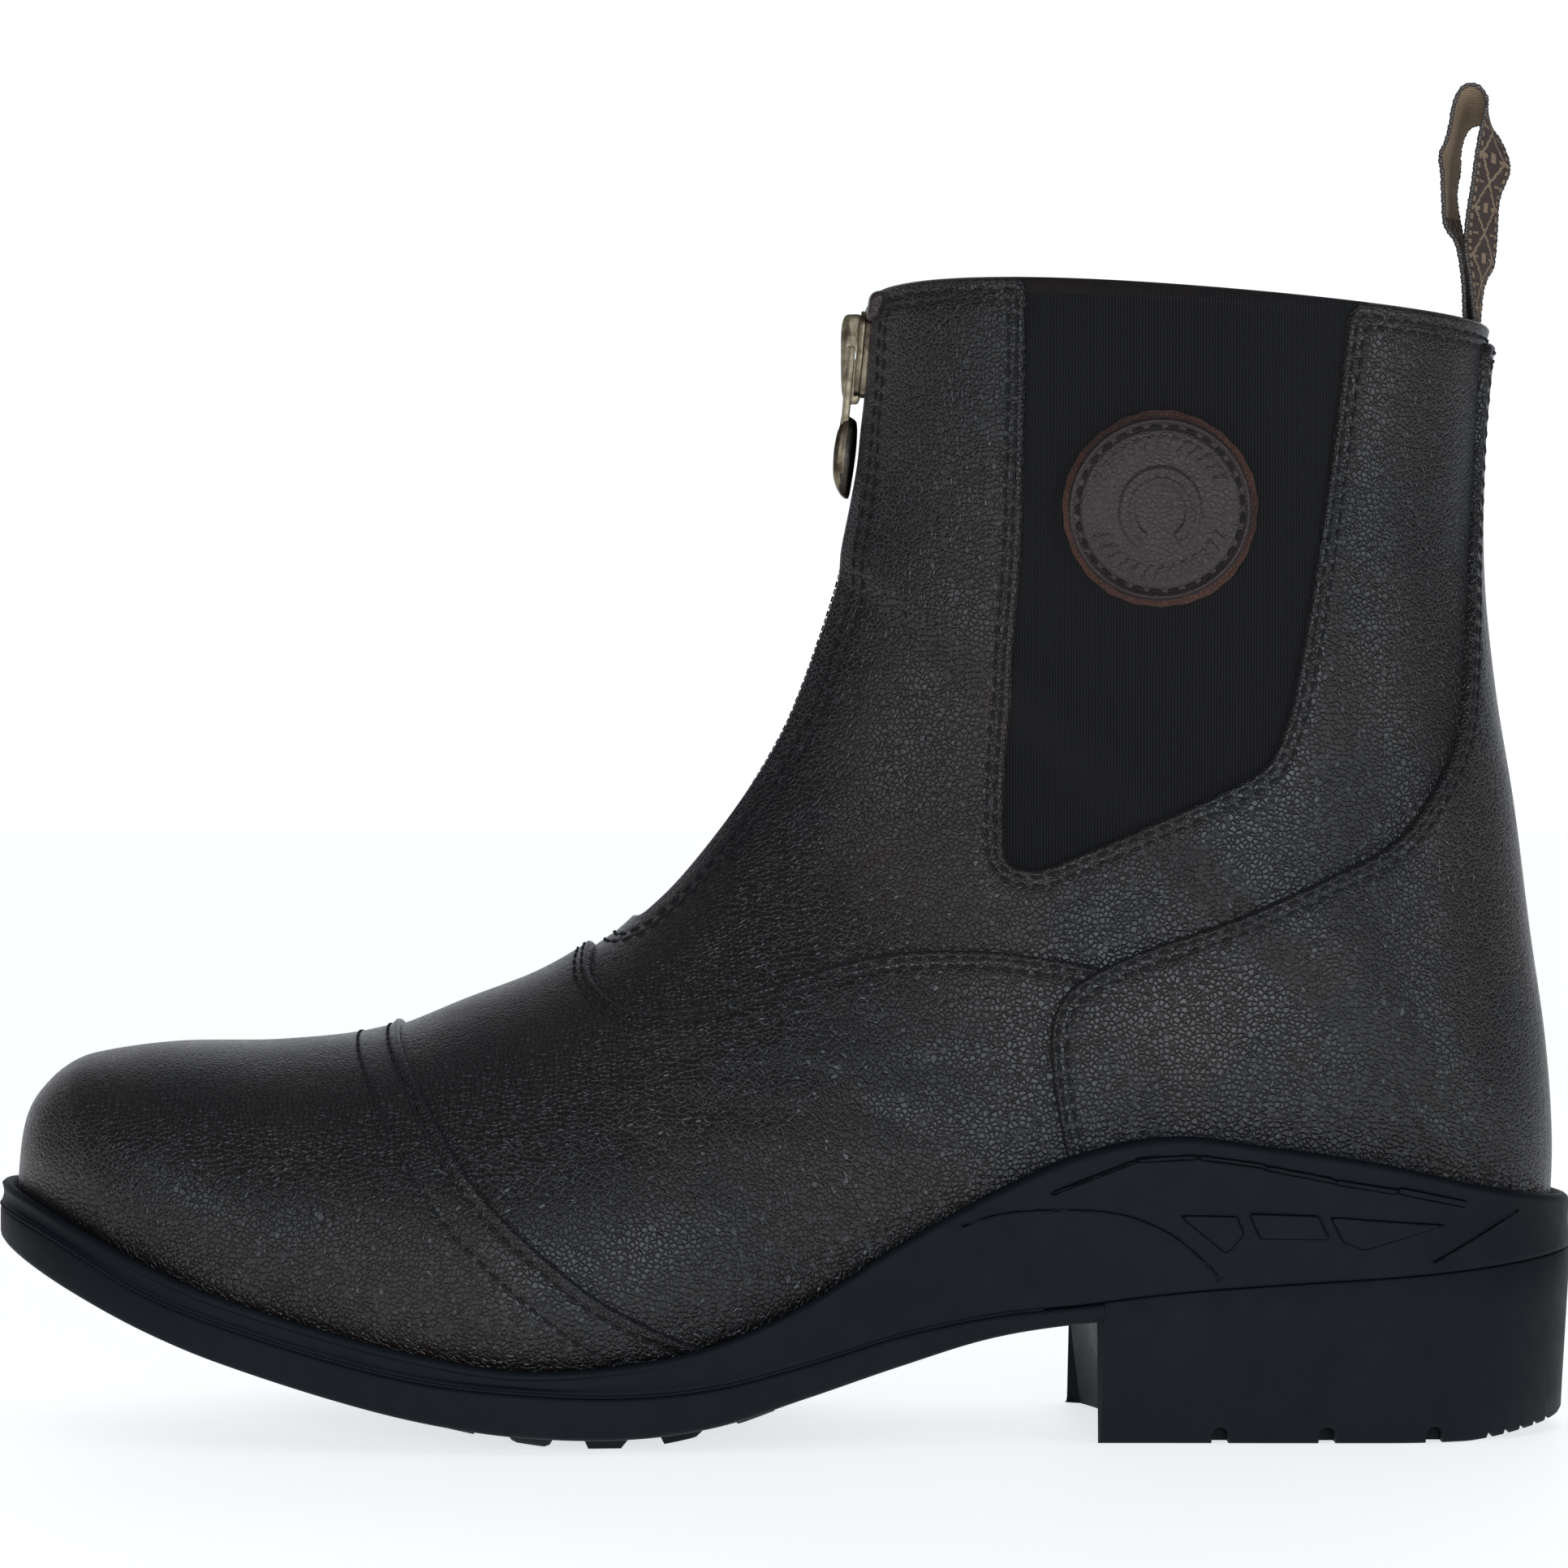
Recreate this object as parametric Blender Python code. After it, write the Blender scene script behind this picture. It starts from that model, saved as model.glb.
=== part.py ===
"""Paddock boot for the left foot, standing empty on its heel and forefoot.

Metres, +Z up. The toe points to -X, the heel to +X and the outer side of the foot to -Y.
The origin is the centre of the heel's floor face.
"""
import math

import bmesh
import bpy
from mathutils import Matrix, Vector

for old in list(bpy.data.objects):
    bpy.data.objects.remove(old, do_unlink=True)

# Driving sizes
SOLE_LENGTH = 0.280
BALL_WIDTH = 0.0975
SOLE_HEIGHT = 0.0534
COLLAR_HEIGHT = 0.2015
COLLAR_WIDTH = 0.066
WALL = 0.0020
OVERLAY = 0.0012
CAP_OVERLAY = 0.0020
LIP = 0.0027
INSOLE = 0.0030
BED_FLOOR = 0.0032
SOCK_ROOM = 0.0045
SOCK_ROUND = 0.0008
GORE_THICKNESS = 0.0012
SLIT_WIDTH = 0.0090
CHAIN_WIDTH = 0.0050
SLIDER_LENGTH = 0.0156
SLIDER_WIDTH = 0.0080
TAB_LENGTH = 0.0270
TAB_WIDTH = 0.0066
PIN_RADIUS = 0.0006
BADGE_RADIUS = 0.0170
LOOP_HEIGHT = 0.0360
LOOP_SPREAD = 0.0118
TAPE_WIDTH = 0.0130
TAPE_THICKNESS = 0.0013
LOOP_FOOT = 0.0120
LUG_HEIGHT = 0.0012
LUG_WIDTH = 0.0070
LUG_INSET = 0.0060
LUG_COUNT = 11
NOTCH = 0.0030
TOOTH = 0.0011
EDGE_BAND = 0.0075
EDGE_ROUND = 0.0015
PLATE = 0.0013
BRIDGE = 0.0026
BRIDGE_WIDTH = 0.0022
BRIDGE_LENGTH = 0.0080
TAB_THICKNESS = 0.0012
BULB_THICKNESS = 0.0026
BULB_LENGTH = 0.0110
GAP = 0.0003
STAND = LIP + CAP_OVERLAY + 2 * GAP

# Places, as shares of the sole's length or of the collar's height
HEEL_CENTRE = 0.8446
TOE_ROUND = 0.150
HEEL_ROUND = 0.125
BREAST_OUTER = 0.697
BREAST_INNER = 0.688
BREAST_DEPTH = 0.026
BADGE_AT = (0.732, 0.802)
SLIDER_UP = 0.947
LOOP_AT = 0.927
LUG_FIRST = 0.160
LUG_LAST = 0.620
FLAT_SHARE = 0.06
NOTCHES_AT = (0.769, 0.834, 0.902)
TEETH_AT = (0.938, 0.949, 0.960, 0.971)
FEATHER = 0.92
BASE_EASE = 2.2
SHAFT_ROUNDNESS = 2.15

# Angles, and how finely the forms are divided
LOOP_TWIST = math.radians(-28)
TAB_LEAN = math.radians(7)
OUTLINE_STEPS = 28
LOWER_STEPS = 4
UPPER_STEPS = 9

# Sole, a row for each section: place (share of length), then the heights of tread, ledge, rim and
# foot bed (shares of sole height) and the half widths to the outer and inner side (of ball width)
SOLE_COLUMNS = ("at", "tread", "ledge", "rim", "bed", "outer", "inner")
SOLE_SECTIONS = (
    (0.000, 0.627, 0.745, 0.824, 0.757, 0.369, 0.390),
    (0.029, 0.549, 0.693, 0.768, 0.674, 0.379, 0.405),
    (0.057, 0.478, 0.627, 0.700, 0.592, 0.390, 0.415),
    (0.100, 0.376, 0.509, 0.596, 0.487, 0.405, 0.436),
    (0.150, 0.277, 0.410, 0.493, 0.386, 0.429, 0.462),
    (0.221, 0.165, 0.300, 0.384, 0.285, 0.466, 0.494),
    (0.279, 0.094, 0.232, 0.313, 0.225, 0.492, 0.502),
    (0.336, 0.052, 0.199, 0.268, 0.195, 0.503, 0.487),
    (0.400, 0.041, 0.184, 0.283, 0.193, 0.490, 0.441),
    (0.457, 0.075, 0.208, 0.343, 0.225, 0.462, 0.385),
    (0.514, 0.161, 0.277, 0.472, 0.292, 0.421, 0.338),
    (0.571, 0.255, 0.363, 0.655, 0.386, 0.384, 0.316),
    (0.629, 0.343, 0.423, 0.820, 0.476, 0.361, 0.314),
    (0.686, 0.388, 0.455, 0.948, 0.547, 0.353, 0.326),
    (0.743, 0.403, 0.491, 1.000, 0.599, 0.353, 0.338),
    (0.800, 0.412, 0.515, 0.968, 0.633, 0.355, 0.345),
    (0.871, 0.431, 0.539, 0.912, 0.655, 0.355, 0.347),
    (0.936, 0.449, 0.567, 0.835, 0.670, 0.349, 0.343),
    (1.000, 0.468, 0.603, 0.777, 0.684, 0.343, 0.338),
)

# Upper over the foot, a row for each section from its base edge to its ridge: base place (share of
# the base line, which stands in from the sole's ends), ridge place, ridge height (of collar height),
# the level of the greatest width and the ridge's roundness
FOOT_COLUMNS = ("base", "ridge", "ridge_up", "widest", "round")
FOOT_SECTIONS = (
    (0.000, 0.019, 0.194, 0.30, 2.3),
    (0.007, 0.019, 0.216, 0.30, 2.3),
    (0.018, 0.022, 0.256, 0.32, 2.4),
    (0.030, 0.026, 0.277, 0.31, 2.4),
    (0.046, 0.033, 0.292, 0.30, 2.4),
    (0.064, 0.045, 0.308, 0.29, 2.4),
    (0.085, 0.060, 0.318, 0.28, 2.4),
    (0.140, 0.111, 0.328, 0.26, 2.3),
    (0.203, 0.179, 0.330, 0.24, 2.2),
    (0.270, 0.243, 0.341, 0.22, 2.1),
    (0.333, 0.300, 0.371, 0.22, 2.0),
    (0.396, 0.346, 0.396, 0.24, 1.9),
    (0.470, 0.384, 0.428, 0.27, 1.85),
    (0.556, 0.421, 0.471, 0.30, 1.85),
    (0.649, 0.450, 0.519, 0.30, 1.9),
    (0.752, 0.475, 0.571, 0.28, 1.9),
    (0.856, 0.495, 0.620, 0.26, 1.95),
    (0.930, 0.507, 0.660, 0.26, 2.0),
    (0.979, 0.516, 0.695, 0.28, 2.0),
    (0.995, 0.523, 0.724, 0.29, 2.0),
    (1.000, 0.529, 0.752, 0.31, 2.0),
)

# Shaft, a row for each ring: back place and height, front place and height, half width (of collar
# width) and the level of the greatest width between back and front
SHAFT_COLUMNS = ("back", "back_up", "front", "front_up", "half", "widest")
SHAFT_SECTIONS = (
    (0.984, 0.248, 0.533, 0.779, 0.462, 0.34),
    (0.980, 0.337, 0.539, 0.819, 0.455, 0.38),
    (0.970, 0.437, 0.544, 0.854, 0.462, 0.42),
    (0.960, 0.546, 0.547, 0.888, 0.477, 0.45),
    (0.948, 0.650, 0.550, 0.923, 0.485, 0.47),
    (0.941, 0.754, 0.552, 0.953, 0.492, 0.49),
    (0.942, 0.864, 0.554, 0.978, 0.500, 0.50),
    (0.949, 0.970, 0.556, 1.000, 0.500, 0.50),
)

# Panel outlines in side view, as shares of sole length and collar height
CAP_EDGE = (
    (0.255, 0.363), (0.262, 0.333), (0.286, 0.275), (0.312, 0.221),
    (0.342, 0.179), (0.385, 0.131), (0.429, 0.099), (0.450, 0.088),
)
VAMP_EDGE = (
    (0.402, 0.449), (0.382, 0.431), (0.378, 0.412), (0.381, 0.393), (0.398, 0.372), (0.415, 0.368),
    (0.451, 0.375), (0.509, 0.399), (0.561, 0.418), (0.619, 0.422), (0.666, 0.415), (0.697, 0.407),
)
COUNTER_FRONT = ((0.673, 0.248), (0.666, 0.301), (0.664, 0.354), (0.669, 0.374), (0.678, 0.391))
COUNTER_TOP = (
    (0.697, 0.407), (0.726, 0.424), (0.780, 0.451), (0.841, 0.489), (0.879, 0.518), (0.905, 0.565),
    (0.921, 0.617), (0.929, 0.711), (0.931, 0.755), (0.937, 0.866), (0.940, 0.955),
)
GORE_EDGE = (
    (0.649, 1.060), (0.648, 0.900), (0.646, 0.774), (0.640, 0.647), (0.637, 0.502), (0.649, 0.492),
    (0.665, 0.495), (0.759, 0.552), (0.798, 0.582), (0.810, 0.616), (0.816, 0.649), (0.829, 0.751),
    (0.844, 0.900), (0.858, 1.060),
)
ZIP_REGION = (
    (0.402, 0.452), (0.436, 0.447), (0.486, 0.511), (0.532, 0.635), (0.571, 0.769), (0.589, 1.080),
    (0.500, 1.080), (0.480, 0.794), (0.423, 0.596), (0.386, 0.491),
)

parts = bpy.data.collections.new("paddock_boot")
cutters = bpy.data.collections.new("cutters")
bpy.context.scene.collection.children.link(parts)
bpy.context.scene.collection.children.link(cutters)


def material(name, colour, roughness, metallic=0.0):
    """Makes one plain finish."""
    finish = bpy.data.materials.new(name)
    finish.use_nodes = True
    shader = finish.node_tree.nodes["Principled BSDF"]
    shader.inputs["Base Color"].default_value = (*colour, 1.0)
    shader.inputs["Roughness"].default_value = roughness
    shader.inputs["Metallic"].default_value = metallic
    return finish


LEATHER = material("brown_leather", (0.022, 0.014, 0.011), 0.45)
RUBBER = material("black_rubber", (0.010, 0.012, 0.015), 0.65)
ELASTIC = material("black_elastic", (0.008, 0.007, 0.008), 0.90)
TAPE = material("black_tape", (0.006, 0.006, 0.006), 0.85)
WEBBING = material("brown_webbing", (0.09, 0.06, 0.035), 0.85)
SOCK = material("insole_sock", (0.05, 0.035, 0.025), 0.85)
BRASS = material("antique_brass", (0.25, 0.17, 0.08), 0.40, 1.0)
BADGE_LEATHER = material("badge_leather", (0.045, 0.020, 0.015), 0.50)


def along(share):
    """World X of a share of the sole's length from the toe's tip."""
    return (share - HEEL_CENTRE) * SOLE_LENGTH


def up(share):
    """World Z of a share of the collar's height."""
    return share * COLLAR_HEIGHT


def spaced(first, last, count):
    """Returns evenly spaced values with both ends."""
    return [first + (last - first) * i / (count - 1) for i in range(count)]


def read(column, at):
    """Reads a column of the sole's table at a place, on a smooth curve through its rows."""
    k = SOLE_COLUMNS.index(column)
    rows = SOLE_SECTIONS
    at = min(max(at, rows[0][0]), rows[-1][0])
    i = max(j for j in range(len(rows) - 1) if rows[j][0] <= at)
    before = rows[max(i - 1, 0)]
    after = rows[min(i + 2, len(rows) - 1)]
    low = rows[i]
    high = rows[i + 1]
    step = high[0] - low[0]
    u = (at - low[0]) / step
    slope_low = (high[k] - before[k]) / (high[0] - before[0]) * step
    slope_high = (after[k] - low[k]) / (after[0] - low[0]) * step
    return (
        low[k] * (1 + 2 * u) * (1 - u) ** 2
        + high[k] * (3 - 2 * u) * u ** 2
        + slope_low * u * (1 - u) ** 2
        - slope_high * (1 - u) * u ** 2
    )


def sole_up(column, at):
    """World Z of one of the sole's lines at a share of its length."""
    return read(column, at) * SOLE_HEIGHT


def half_width(side, at, inset=0.0):
    """Half width of the sole's outline to a side, with round ends, shrunk by an inset."""
    body = read(side, at) * BALL_WIDTH - inset
    start = inset / SOLE_LENGTH
    end = 1.0 - start
    if at < TOE_ROUND:
        lean = min(1.0, (TOE_ROUND - at) / (TOE_ROUND - start))
        return body * math.sqrt(max(0.0, 1.0 - lean ** 2))
    if at > 1.0 - HEEL_ROUND:
        lean = min(1.0, (at - 1.0 + HEEL_ROUND) / (HEEL_ROUND - 1.0 + end))
        return body * math.sqrt(max(0.0, 1.0 - lean ** 2))
    return body


def link(name, mesh, finish, collection=parts):
    """Puts a mesh into the scene as a named object."""
    thing = bpy.data.objects.new(name, mesh)
    collection.objects.link(thing)
    if finish:
        mesh.materials.append(finish)
    if collection is cutters:
        thing.hide_render = True
        thing.display_type = "WIRE"
    return thing


def mesh_from(name, bm, smooth=True):
    """Welds and triangulates a bmesh, turns its faces out and returns it as a mesh."""
    bmesh.ops.remove_doubles(bm, verts=bm.verts, dist=0.00002)
    bmesh.ops.dissolve_degenerate(bm, edges=bm.edges, dist=0.00001)
    bmesh.ops.triangulate(bm, faces=bm.faces)
    bmesh.ops.recalc_face_normals(bm, faces=bm.faces)
    mesh = bpy.data.meshes.new(name)
    bm.to_mesh(mesh)
    bm.free()
    if smooth:
        mesh.shade_smooth()
        mesh.set_sharp_from_angle(angle=math.radians(35))
    return mesh


def rings(name, levels, finish, collection=parts):
    """Closed body from rings of the sole's outline: each level is a height column and an inset."""
    shares = [(1 - math.cos(math.pi * i / OUTLINE_STEPS)) / 2 for i in range(OUTLINE_STEPS + 1)]
    bm = bmesh.new()
    loops = []
    for column, lift, inset in levels:
        start = inset / SOLE_LENGTH
        places = [start + share * (1 - 2 * start) for share in shares]
        outer = [(at, -half_width("outer", at, inset)) for at in places]
        inner = [(at, half_width("inner", at, inset)) for at in places[1:-1]]
        loop = []
        for at, y in outer + inner[::-1]:
            z = lift if column == "floor" else sole_up(column, at) + lift
            loop.append(bm.verts.new((along(at), y, z)))
        loops.append(loop)
    count = len(loops[0])
    for low, high in zip(loops, loops[1:]):
        for i in range(count):
            j = (i + 1) % count
            bm.faces.new((low[i], low[j], high[j], high[i]))
    for loop in (loops[0], loops[-1]):
        for i in range(OUTLINE_STEPS):
            corners = [loop[i], loop[i + 1], loop[-1 - i], loop[-i]]
            if i == 0:
                corners = [loop[0], loop[1], loop[-1]]
            if i == OUTLINE_STEPS - 1:
                corners = [loop[i], loop[i + 1], loop[-i]]
            bm.faces.new(corners)
    return link(name, mesh_from(name, bm), finish, collection)


def prism(name, outline, axis, low, high):
    """Cutter with a flat outline, pulled along Y (side view) or Z (plan view) from low to high."""
    bm = bmesh.new()
    ends = []
    for level in (low, high):
        if axis == "Y":
            ends.append([bm.verts.new((x, level, z)) for x, z in outline])
        else:
            ends.append([bm.verts.new((x, y, level)) for x, y in outline])
    count = len(outline)
    for i in range(count):
        j = (i + 1) % count
        bm.faces.new((ends[0][i], ends[0][j], ends[1][j], ends[1][i]))
    bm.faces.new(ends[0])
    bm.faces.new(ends[1])
    return link(name, mesh_from(name, bm, smooth=False), None, cutters)


def boxes(name, items, collection=cutters, finish=None):
    """Boxes as one mesh: each item is a centre, a size, a turn about Y and a bevel width."""
    bm = bmesh.new()
    for centre, size, turn, bevel in items:
        verts = bmesh.ops.create_cube(bm, size=1.0)["verts"]
        bmesh.ops.scale(bm, vec=size, verts=verts)
        if bevel:
            edges = list({edge for vert in verts for edge in vert.link_edges})
            made = bmesh.ops.bevel(bm, geom=edges, offset=bevel, segments=2, affect="EDGES", profile=0.5)
            verts = list({vert for face in made["faces"] for vert in face.verts})
        bmesh.ops.rotate(bm, cent=(0, 0, 0), matrix=Matrix.Rotation(turn, 3, "Y"), verts=verts)
        bmesh.ops.translate(bm, vec=centre, verts=verts)
    return link(name, mesh_from(name, bm, smooth=False), finish, collection)


def rod(name, centre, radius, length):
    """Round cutter or pin along the Y axis."""
    bm = bmesh.new()
    bmesh.ops.create_cone(
        bm, cap_ends=True, segments=16, radius1=radius, radius2=radius, depth=length,
        matrix=Matrix.Translation(centre) @ Matrix.Rotation(math.pi / 2, 4, "X"),
    )
    return link(name, mesh_from(name, bm, smooth=False), None, cutters)


def boolean(thing, cutter, operation):
    """Adds an exact boolean to an object."""
    cut = thing.modifiers.new(cutter.name, "BOOLEAN")
    cut.object = cutter
    cut.operation = operation
    cut.solver = "EXACT"
    return cut


# The upper's own surface: each section is a list of points from the outer base edge over the ridge
# to the inner base edge


def half_section(base, ridge, half_base, half_wide, widest, roundness):
    """One side of a section: base edge out to the greatest width, then in to the ridge."""
    cut = (1 - (half_base / half_wide) ** BASE_EASE) ** (1 / BASE_EASE)
    start = math.acos(cut ** (BASE_EASE / 2))
    points = []
    for turn in spaced(start, math.pi / 2, LOWER_STEPS + 1):
        level = widest - widest / cut * max(0.0, math.cos(turn)) ** (2 / BASE_EASE)
        points.append((level, half_wide * math.sin(turn) ** (2 / BASE_EASE)))
    for turn in spaced(0, math.pi / 2, UPPER_STEPS + 1)[1:]:
        level = widest + (1 - widest) * math.sin(turn) ** (2 / roundness)
        points.append((level, half_wide * max(0.0, math.cos(turn)) ** (2 / roundness)))
    points[0] = (0.0, half_base)
    points[-1] = (1.0, 0.0)
    return [(base.lerp(ridge, level), wide) for level, wide in points]


def foot_section(row):
    """Points of a section over the foot."""
    item = dict(zip(FOOT_COLUMNS, row))
    start = STAND / SOLE_LENGTH
    foot_at = start + item["base"] * (1 - 2 * start)
    base = Vector((along(foot_at), 0, sole_up("bed", foot_at)))
    ridge = Vector((along(item["ridge"]), 0, up(item["ridge_up"])))
    sides = []
    for side in ("outer", "inner"):
        middle = foot_at + (item["ridge"] - foot_at) * item["widest"]
        wide = half_width(side, middle, STAND)
        low = min(half_width(side, foot_at, STAND) * FEATHER, wide * 0.97)
        sides.append(half_section(base, ridge, low, wide, item["widest"], item["round"]))
    return sides


def shaft_section(row):
    """Points of a ring of the shaft, from the back line to the front line."""
    item = dict(zip(SHAFT_COLUMNS, row))
    back = Vector((along(item["back"]), 0, up(item["back_up"])))
    front = Vector((along(item["front"]), 0, up(item["front_up"])))
    wide = item["half"] * COLLAR_WIDTH
    half = half_section(back, front, 0.0, wide, item["widest"], SHAFT_ROUNDNESS)
    return [half, half]


def surface_points():
    """Rows of points of the upper's surface, toe to collar."""
    grid = []
    toe_at = STAND / SOLE_LENGTH
    tip = Vector((along(toe_at), 0, sole_up("bed", toe_at)))
    grid.append([tip] * (2 * (LOWER_STEPS + UPPER_STEPS) + 1))
    sections = [foot_section(row) for row in FOOT_SECTIONS[1:]]
    sections += [shaft_section(row) for row in SHAFT_SECTIONS]
    for outer, inner in sections:
        row = [Vector((point.x, -wide, point.z)) for point, wide in outer]
        row += [Vector((point.x, wide, point.z)) for point, wide in inner[-2::-1]]
        grid.append(row)
    return grid


GRID = surface_points()
BASE_ROWS = len(FOOT_SECTIONS) - 1


def weighted_normals():
    """Normals of the grid, with points that share a place sharing one normal."""
    rows = len(GRID)
    columns = len(GRID[0])
    sums = {}

    def key(point):
        return tuple(round(value, 6) for value in point)

    for i in range(rows - 1):
        for j in range(columns - 1):
            a, b, c, d = GRID[i][j], GRID[i][j + 1], GRID[i + 1][j + 1], GRID[i + 1][j]
            normal = (d - b).cross(c - a)
            for place in {key(a), key(b), key(c), key(d)}:
                sums[place] = sums.get(place, Vector()) + normal
    result = []
    for i in range(rows):
        line = []
        for j in range(columns):
            normal = sums[key(GRID[i][j])].copy()
            level = i == rows - 1 or i == 0 or (i <= BASE_ROWS and j in (0, columns - 1))
            if level:
                normal.z = 0
            line.append(normal.normalized())
        result.append(line)
    return result


NORMALS = weighted_normals()


def offset_grid(offset):
    """The upper's grid, moved out along its normals."""
    moved = []
    for points, normals in zip(GRID, NORMALS):
        moved.append([point + normal * offset for point, normal in zip(points, normals)])
    return moved


def shell(name, inner, outer, finish, collection=parts):
    """Closed wall between two offsets of the upper's surface, open at collar and base."""
    bm = bmesh.new()
    sides = []
    for offset in (inner, outer):
        sides.append([[bm.verts.new(point) for point in row] for row in offset_grid(offset)])
    rows = len(GRID)
    columns = len(GRID[0])
    for grid in sides:
        for i in range(rows - 1):
            for j in range(columns - 1):
                bm.faces.new((grid[i][j], grid[i][j + 1], grid[i + 1][j + 1], grid[i + 1][j]))
    for j in (0, columns - 1):
        for i in range(BASE_ROWS):
            quad = (sides[0][i][j], sides[0][i + 1][j], sides[1][i + 1][j], sides[1][i][j])
            bm.faces.new(quad)
    for j in range(columns - 1):
        top = rows - 1
        bm.faces.new((sides[0][top][j], sides[0][top][j + 1], sides[1][top][j + 1], sides[1][top][j]))
    return link(name, mesh_from(name, bm), finish, collection)


def form(name, offset):
    """Closed solid of the upper's outer form at an offset, its base lowered by the gap."""
    bm = bmesh.new()
    grid = [[bm.verts.new(point) for point in row] for row in offset_grid(offset)]
    rows = len(grid)
    columns = len(grid[0])
    for i in range(rows - 1):
        for j in range(columns - 1):
            bm.faces.new((grid[i][j], grid[i][j + 1], grid[i + 1][j + 1], grid[i + 1][j]))
    for i in range(BASE_ROWS):
        bm.faces.new((grid[i][0], grid[i + 1][0], grid[i + 1][-1], grid[i][-1]))
    for j in range(columns // 2):
        corners = (grid[-1][j], grid[-1][j + 1], grid[-1][-2 - j], grid[-1][-1 - j])
        bm.faces.new(corners if j < columns // 2 - 1 else corners[:2] + corners[3:])
    for vert in grid[0] + [row[j] for row in grid[1:BASE_ROWS + 1] for j in (0, -1)]:
        vert.co.z -= GAP
    return link(name, mesh_from(name, bm), None, cutters)


def outline(points):
    """World X and Z of a panel outline given in shares."""
    return [(along(x), up(z)) for x, z in points]


def shrink(points, gap):
    """Moves each corner of a flat outline inward by a gap."""
    count = len(points)
    area = sum(points[i - 1][0] * points[i][1] - points[i][0] * points[i - 1][1] for i in range(count))
    turn = gap if area > 0 else -gap
    moved = []
    for i in range(count):
        before = Vector(points[i - 1])
        here = Vector(points[i])
        after = Vector(points[(i + 1) % count])
        first = (here - before).normalized()
        second = (after - here).normalized()
        inward = Vector((-first.y - second.y, first.x + second.x)).normalized()
        grow = turn / max(0.5, inward.dot(Vector((-first.y, first.x))))
        moved.append(tuple(here + inward * grow))
    return moved


def breast_outline(gap):
    """Plan outline of all that lies ahead of the heel's concave breast."""
    reach = BALL_WIDTH * 0.35
    points = [(along(-0.2), -BALL_WIDTH), (along(BREAST_OUTER) - gap, -BALL_WIDTH)]
    for y in spaced(-reach, reach, 13):
        share = (y / reach + 1) / 2
        corner = BREAST_OUTER + (BREAST_INNER - BREAST_OUTER) * share
        depth = BREAST_DEPTH * (1 - (y / reach) ** 2)
        points.append((along(corner + depth) - gap, y))
    points += [(along(BREAST_INNER) - gap, BALL_WIDTH), (along(-0.2), BALL_WIDTH)]
    return points


def make_sole():
    """Cupped side wall: its recess is the upper's outer form with room for the overlays."""
    unit = rings("sole_unit", (
        ("bed", -BED_FLOOR + GAP / 2, EDGE_BAND),
        ("ledge", GAP / 2, 0.0008),
        ("ledge", EDGE_ROUND, 0.0),
        ("rim", -EDGE_ROUND, 0.0002),
        ("rim", 0.0, 0.0012),
    ), RUBBER)
    boolean(unit, form("upper_room", CAP_OVERLAY + 2 * GAP), "DIFFERENCE")
    return unit


def lug_boxes():
    """Bars across the forefoot and waist: those under the ball end flat on the floor."""
    items = []
    for at in spaced(LUG_FIRST, LUG_LAST, LUG_COUNT):
        tread = sole_up("tread", at)
        slope = (sole_up("tread", at + 0.01) - sole_up("tread", at - 0.01)) / (0.02 * SOLE_LENGTH)
        outer = half_width("outer", at) - LUG_INSET
        inner = half_width("inner", at) - LUG_INSET
        bottom = tread - LUG_HEIGHT
        turn = -math.atan(slope)
        if tread < SOLE_HEIGHT * FLAT_SHARE:
            bottom = 0.0
            turn = 0.0
        top = tread + 0.0015
        centre = (along(at), (inner - outer) / 2, (bottom + top) / 2)
        items.append((centre, (LUG_WIDTH, outer + inner, top - bottom), turn, 0.0))
    return items


def make_outsole():
    """Tread layer with its bars, ending at the heel's breast."""
    layer = rings("outsole", (
        ("tread", 0.0, 0.0030),
        ("tread", 0.0010, 0.0006),
        ("ledge", -EDGE_ROUND, 0.0),
        ("ledge", -GAP / 2, 0.0004),
        ("bed", -BED_FLOOR - GAP / 2, EDGE_BAND),
    ), RUBBER)
    boolean(layer, boxes("lugs", lug_boxes()), "UNION")
    ahead = prism("ahead_of_heel", breast_outline(GAP), "Z", -0.02, SOLE_HEIGHT * 2)
    boolean(layer, ahead, "INTERSECT")


def make_heel():
    """Block heel with a concave breast, floor notches at its sides and small teeth at its back."""
    heel = rings("heel", (
        ("floor", 0.0, 0.0026),
        ("floor", 0.0010, 0.0018),
        ("ledge", -EDGE_ROUND, 0.0006),
        ("ledge", -GAP / 2, 0.0008),
        ("bed", -BED_FLOOR - GAP / 2, EDGE_BAND),
    ), RUBBER)
    breast = prism("breast", breast_outline(0.0), "Z", -0.02, SOLE_HEIGHT * 2)
    boolean(heel, breast, "DIFFERENCE")
    items = []
    for at in NOTCHES_AT:
        for side, face in ((-1, "outer"), (1, "inner")):
            y = side * half_width(face, at)
            items.append(((along(at), y, 0.0), (NOTCH, NOTCH * 6, NOTCH * 2), 0.0, 0.0))
    for at in TEETH_AT:
        items.append(((along(at), 0.0, 0.0), (TOOTH, BALL_WIDTH, TOOTH * 2.4), 0.0, 0.0))
    boolean(heel, boxes("heel_notches", items), "DIFFERENCE")


def make_insole():
    """Sock lying on the foot bed inside the upper's wall."""
    inset = STAND + WALL + SOCK_ROOM
    rings("insole", (
        ("bed", 2 * GAP, inset),
        ("bed", INSOLE * 0.8, inset),
        ("bed", INSOLE, inset + SOCK_ROUND),
    ), SOCK)


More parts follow.
